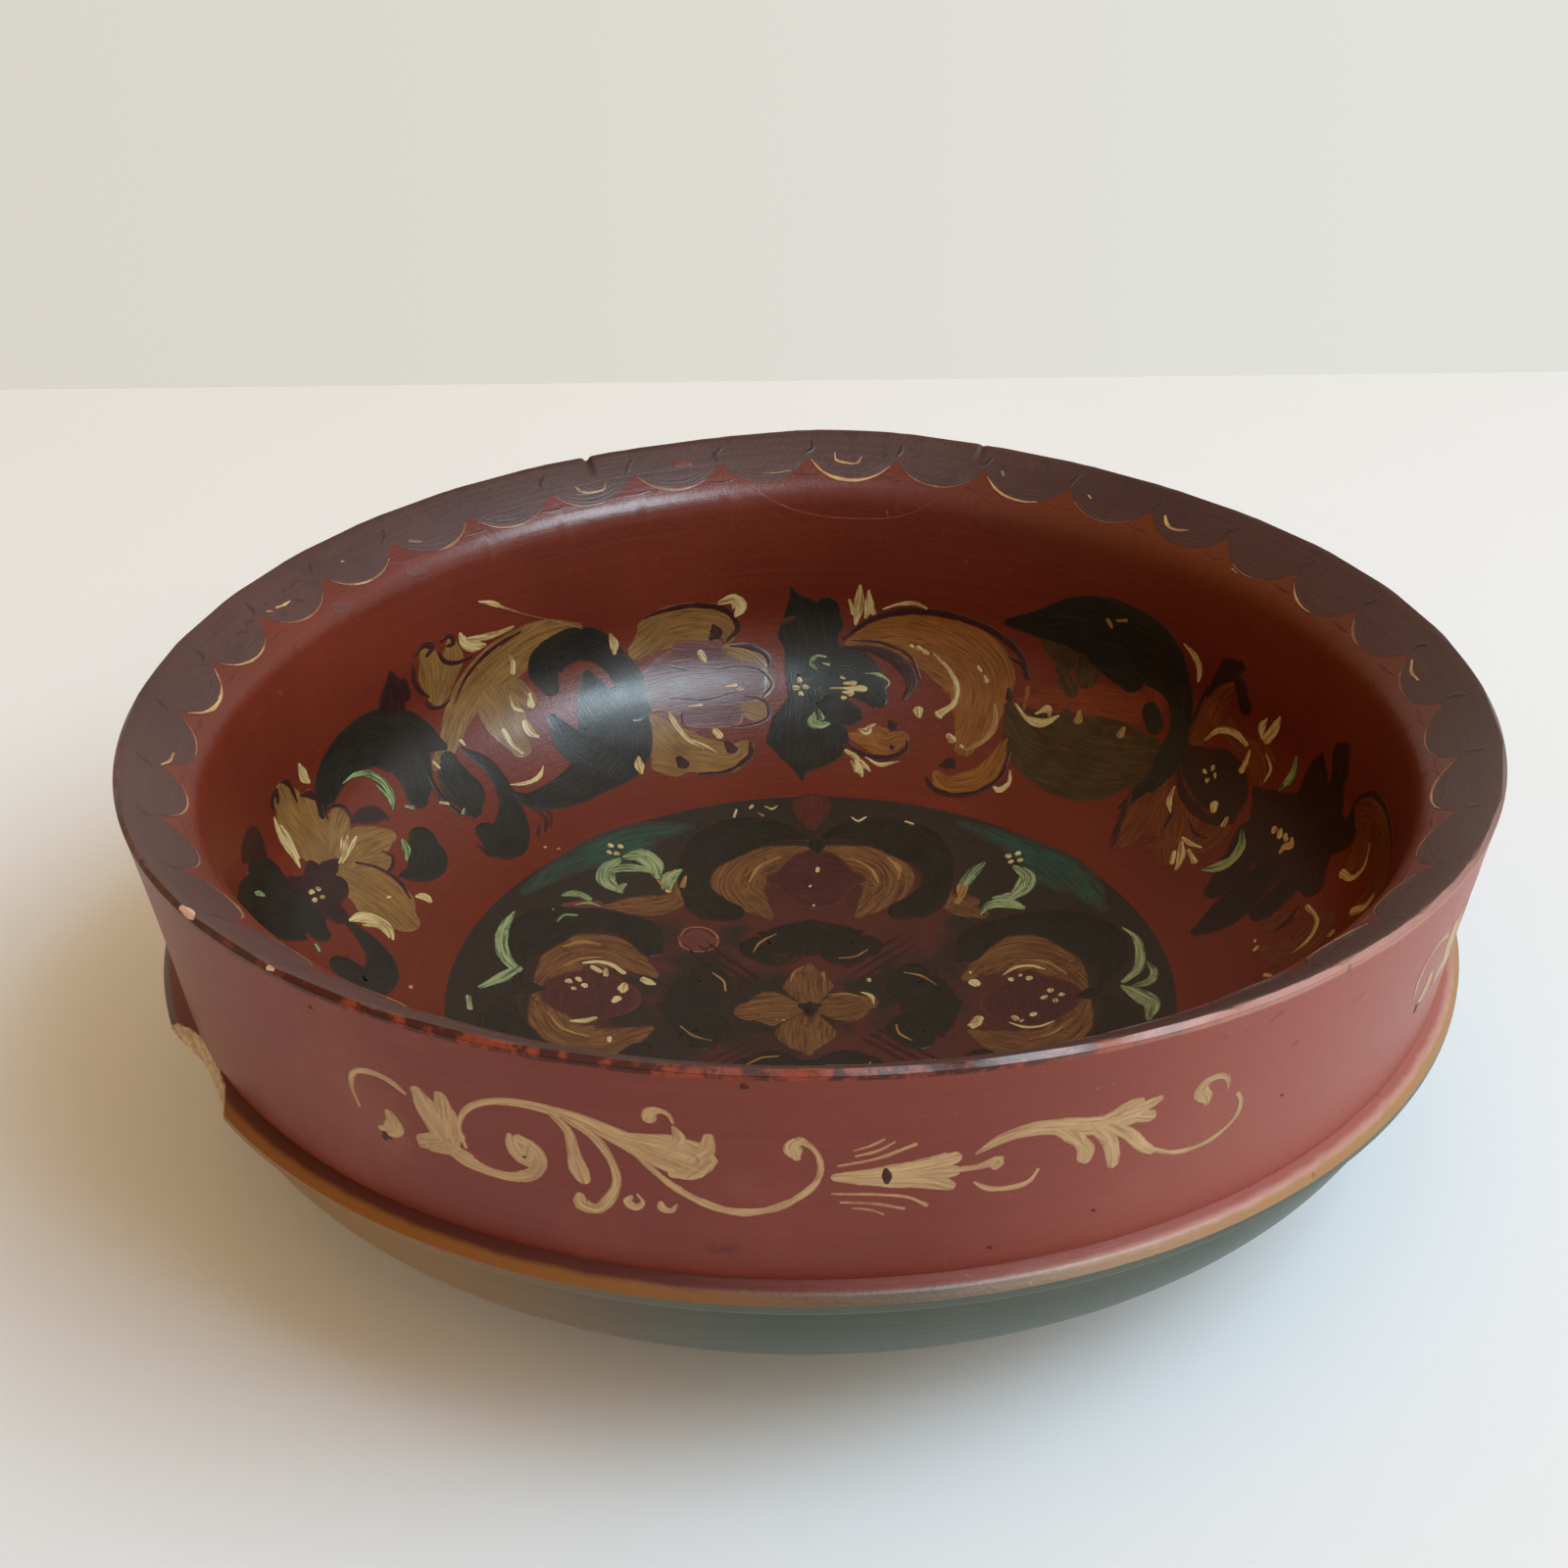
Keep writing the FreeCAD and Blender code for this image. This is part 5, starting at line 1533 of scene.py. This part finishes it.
rim_marks = {name: [(WALL, crescent(*entry)) for entry in entries] for name, entries in RIM_CRESCENTS.items()}
rng = np.random.default_rng(7)
rings, dabs, dashes = [], [], []
for lobe in range(SCALLOPS):
    joint = LOBE * lobe + math.degrees(SCALLOP_TURN)
    slip = rng.uniform(-0.5, 0.5, 4)
    for n in range(3):
        reach = 3.9 - 0.75 * n
        rings.append((WALL, crescent(lobe, reach + slip[n], reach - slip[n], 0.22, 1.1 + 1.35 * n)))
    dab = ((joint + 0.4 + slip[0], 204.6, 0.35), (joint + slip[1], 206.2, 0.8), (joint - 0.4, 208.6, 0.5))
    dash = ((joint + 1.7, 197.4 + slip[2], 0.2), (joint, 197, 0.55), (joint - 1.5, 197.3 + slip[3], 0.2))
    dabs.append((WALL, dab))
    dashes.append((WALL, dash))
rim_marks.update(ring=rings, dab=dabs, dash=dashes)
for name, group in gather([(WALL, (RIM_DABS,))]).items():
    rim_marks.setdefault(name, []).extend(group)
print({name: len(marks) for name, marks in rim_marks.items()})

# %% [markdown]
# ## Stroke paint
#
# A stroke's finish runs with the brush: long streaks along it, and a little of the ground showing through
# where the bristles parted and at the edge. It follows the stroke's own attributes, in millimetres: `run`
# along it, `side` across it and `edge` in from its edge. `seed` differs from stroke to stroke.

# %% Brushed paint
STROKE_GLOSS = 0.36


def brushed(name, base, deep, thin, hairs, fray, wear=0.3):
    """Brushed paint: base to deep by streak and tone, and thin between the hairs, at the edge and where worn.

    Fray is how many millimetres the paint takes to cover fully from the stroke's edge inwards.
    """
    f = Finish(name)
    base, deep, thin = colour(*base), colour(*deep), colour(*thin)
    seed = f.attribute("seed")
    path = {"X": f.attribute("run") * 0.07 + seed, "Y": f.attribute("side") * 1.1, "Z": seed}
    streaks = f.noise(1.6, 4.0, 0.6, f.node("CombineXYZ", None, path))
    cloud = f.noise(120.0, 3.0)
    grit = f.noise(700.0, 3.0, 0.7)
    tint = f.mix(f.step(streaks * 0.8 + cloud * 0.3, 0.42, 0.72), deep, base)
    cut = 0.3 + 0.2 * hairs
    parted = f.step(streaks * 0.8 + grit * 0.2, cut + 0.05, cut - 0.05)
    edge = f.step(f.attribute("edge") * (1 / fray) + (grit + streaks - 1.0) * 2.0, 1.0, 0.1)
    worn = f.step(f.noise(75.0, 5.0, 0.75) * 0.6 + grit * 0.4, 0.66 - 0.12 * wear, 0.7 - 0.12 * wear)
    bare = parted.math("MAXIMUM", edge).math("MAXIMUM", worn)
    tint = f.mix(bare * 0.85, tint, thin)
    rough = STROKE_GLOSS + (cloud - 0.5) * 0.14 + (streaks - 0.5) * 0.08 + bare * 0.04
    return f.finish(tint, rough, streaks * 0.8 + grit * 0.3 + cloud * 0.5, 0.1)


STROKE_TINTS = {
    "ochre": ((138, 99, 48), (106, 74, 34), (94, 52, 30), 0.5, 0.4),
    "gold": ((141, 87, 28), (110, 62, 19), (92, 42, 18), 0.5, 0.5),
    "amber": ((116, 60, 20), (84, 38, 14), (84, 30, 16), 0.6, 0.8),
    "dark": ((40, 33, 22), (27, 23, 16), (60, 34, 22), 0.3, 0.5),
    "slate": ((42, 25, 20), (32, 20, 17), (66, 28, 18), 0.5, 1),
    "purple": ((52, 24, 19), (37, 17, 15), (74, 28, 18), 0.4, 0.8),
    "rose": ((96, 52, 46), (76, 38, 36), (108, 50, 36), 0.7, 2.4),
    "olive": ((74, 53, 20), (46, 30, 13), (84, 40, 18), 0.5, 0.8),
    "orange": ((124, 53, 20), (100, 38, 16), (100, 38, 20), 0.6, 1.6),
    "red": ((92, 38, 28), (74, 30, 22), (64, 36, 26), 0.8, 2.2),
    "line": ((58, 24, 18), (42, 19, 16), (96, 44, 28), 0.5, 0.2),
    "cream": ((202, 182, 124), (168, 140, 84), (128, 84, 50), 0.7, 0.3),
    "glint": ((160, 122, 66), (136, 94, 46), (112, 70, 38), 0.7, 0.3),
    "pale": ((152, 158, 108), (112, 122, 80), (62, 66, 44), 0.8, 0.5),
    "green": ((146, 158, 98), (100, 118, 68), (50, 50, 32), 0.8, 0.3),
    "teal": ((44, 74, 56), (36, 56, 44), (52, 40, 30), 0.7, 3.6),
    "fine": ((172, 136, 96), (150, 108, 76), (134, 78, 58), 0.7, 0.2),
    "tan": ((160, 112, 74), (134, 86, 58), (100, 56, 42), 0.8, 0.3),
    "ring": ((66, 42, 38), (58, 36, 33), (84, 52, 44), 0.9, 0.3),
    "dab": ((46, 32, 30), (36, 26, 26), (78, 48, 42), 0.7, 0.6),
    "dash": ((78, 32, 20), (66, 26, 18), (104, 42, 26), 0.8, 0.4),
    "smudge": ((92, 50, 42), (80, 42, 36), (108, 46, 30), 0.7, 1.2),
    "blush": ((150, 92, 74), (132, 74, 58), (108, 48, 34), 0.8, 0.15),
    "buff": ((182, 153, 110), (154, 122, 86), (146, 100, 76), 0.5, 0.4),
    "chip": ((218, 184, 164), (196, 154, 134), (150, 96, 78), 0.4, 0.2),
    "rim_cream": ((198, 162, 108), (166, 120, 76), (104, 60, 46), 0.75, 0.3),
    "floor_ochre": ((122, 80, 42), (92, 58, 30), (72, 40, 28), 0.7, 0.8, 0.9),
    "floor_dark": ((42, 35, 23), (28, 24, 17), (70, 34, 24), 0.4, 0.7, 0.6),
    "floor_purple": ((80, 38, 32), (58, 27, 25), (88, 44, 32), 0.6, 2, 0.5),
    "floor_cream": ((206, 188, 132), (176, 148, 94), (116, 78, 50), 0.5, 0.2),
}
STROKE_PAINTS = {name: brushed(f"stroke_{name}", *numbers) for name, numbers in STROKE_TINTS.items()}
STROKE_LIFTS = {"teal": 0.325, "orange": 0.33, "ochre": 0.34, "gold": 0.34, "amber": 0.34, "olive": 0.355,
                "rose": 0.365, "purple": 0.375, "slate": 0.38, "dark": 0.39, "red": 0.41, "line": 0.415,
                "glint": 0.42, "pale": 0.425, "green": 0.43, "fine": 0.34, "buff": 0.35, "cream": 0.44,
                "ring": 0.36, "dab": 0.365, "dash": 0.35, "smudge": 0.37, "tan": 0.39, "blush": 0.34,
                "chip": 0.42}

# %% Laying the strokes
PAINTED = (("wall", wall_marks, "interior_red"), ("floor", floor_marks, "medallion_ground"),
           ("rim", rim_marks, "rim_brown"), ("collar", collar_marks, "collar_red"))
for place, marks, slot_name in PAINTED:
    for colour_name, group in marks.items():
        piece = strokes(f"{place}_{colour_name}_strokes", group, STROKE_LIFTS[colour_name])
        material = STROKE_PAINTS.get(f"{place}_{colour_name}") or STROKE_PAINTS[colour_name]
        paint(piece, material)
        print(piece.name, len(group), "strokes,", len(piece.data.polygons), "faces")

# %% [markdown]
# ## Light and table
#
# A big soft lamp high on the right stands for a window with the sky in it, and a second one beside it only
# shines in the varnish. The world fills the shade: bright from the walls on the right, dim and warm from the
# room on the left. The table is white paper that ends behind the bowl. Past it the camera looks down at the
# pale wall of the room, which is the part of the world below the horizon. It hardly lights the bowl, because
# the table hides it.

# %% Table
TABLE_BACK = 0.53
TABLE_REACH = 2.5


def add_table():
    """Sheet of white paper at z = 0, whose far edge is where the photograph has it."""
    corners = [(-TABLE_REACH, -TABLE_REACH, 0), (TABLE_REACH, -TABLE_REACH, 0), (TABLE_REACH, TABLE_BACK, 0),
               (-TABLE_REACH, TABLE_BACK, 0)]
    mesh = bpy.data.meshes.new("table")
    mesh.from_pydata(corners, [], [(0, 1, 2, 3)])
    table = bpy.data.objects.new("table", mesh)
    bpy.context.collection.objects.link(table)
    f = Finish("paper")
    tint = f.mix(f.noise(3.0, 2.0), colour(228, 230, 228), colour(234, 235, 232))
    mesh.materials.append(f.finish(tint, 0.85, f.noise(400.0), 0.05))


add_table()

# %% Lamps
BOWL_MIDDLE = Vector((0, 0, 0.06))
WINDOW_PLACE = (1.43, -0.62, 2.0)
SHINE_PLACE = (1.05, -0.95, 2.05)


def add_lamp(name, place, size, power, tint, shines):
    """Square area lamp that looks at the middle of the bowl, and either shines in the varnish or lights."""
    data = bpy.data.lights.new(name, "AREA")
    data.size = size
    data.energy = power
    data.color = tint
    lamp = bpy.data.objects.new(name, data)
    lamp.visible_diffuse = not shines
    lamp.visible_glossy = shines
    lamp.location = place
    lamp.rotation_euler = (BOWL_MIDDLE - lamp.location).to_track_quat("-Z", "Y").to_euler()
    bpy.context.collection.objects.link(lamp)


add_lamp("window", WINDOW_PLACE, 1.6, 45.0, (0.42, 0.7, 1.0), shines=False)
add_lamp("window_shine", SHINE_PLACE, 1.1, 210.0, (0.7, 0.88, 1.0), shines=True)

# %% World
ROOM_LIGHT = {
    "X+": (2.2, 2.19, 2.17),
    "X-": (0.41, 0.2, 0.02),
    "Y+": (0.97, 0.89, 0.79),
    "Y-": (1.19, 1.06, 0.9),
    "Z+": (0.51, 0.27, 0.05),
}


def add_world():
    """Light with its own colour from each side, and the wall of the room below the horizon.

    The light from a direction is the sum of the sides' colours, each times the square of the direction's
    component towards that side. The squares of all components add up to one.
    """
    world = bpy.data.worlds.new("room")
    world.use_nodes = True
    f = Finish("room", world.node_tree)
    ray = f.node("TexCoord", output="Generated")
    part = {axis: f.node("SeparateXYZ", None, {0: ray}, axis) for axis in "XYZ"}
    light = (0.0, 0.0, 0.0)
    for side, tint in ROOM_LIGHT.items():
        towards = (part[side[0]] * (1.0 if side[1] == "+" else -1.0)).math("MAXIMUM", 0.0)
        share = f.node("VectorMath", {"operation": "SCALE"}, {0: tint, "Scale": towards * towards})
        light = f.node("VectorMath", {"operation": "ADD"}, {0: light, 1: share})
    wall = f.mix(f.step(part["X"], -0.35, 0.35), colour(218, 214, 203), colour(226, 227, 221))
    room = f.node("Background", None, {"Color": f.mix(f.step(part["Z"], -0.06, 0.0), wall, light)})
    f.node("OutputWorld", None, {"Surface": room})
    bpy.context.scene.world = world


add_world()
bpy.context.scene.view_settings.view_transform = "Standard"
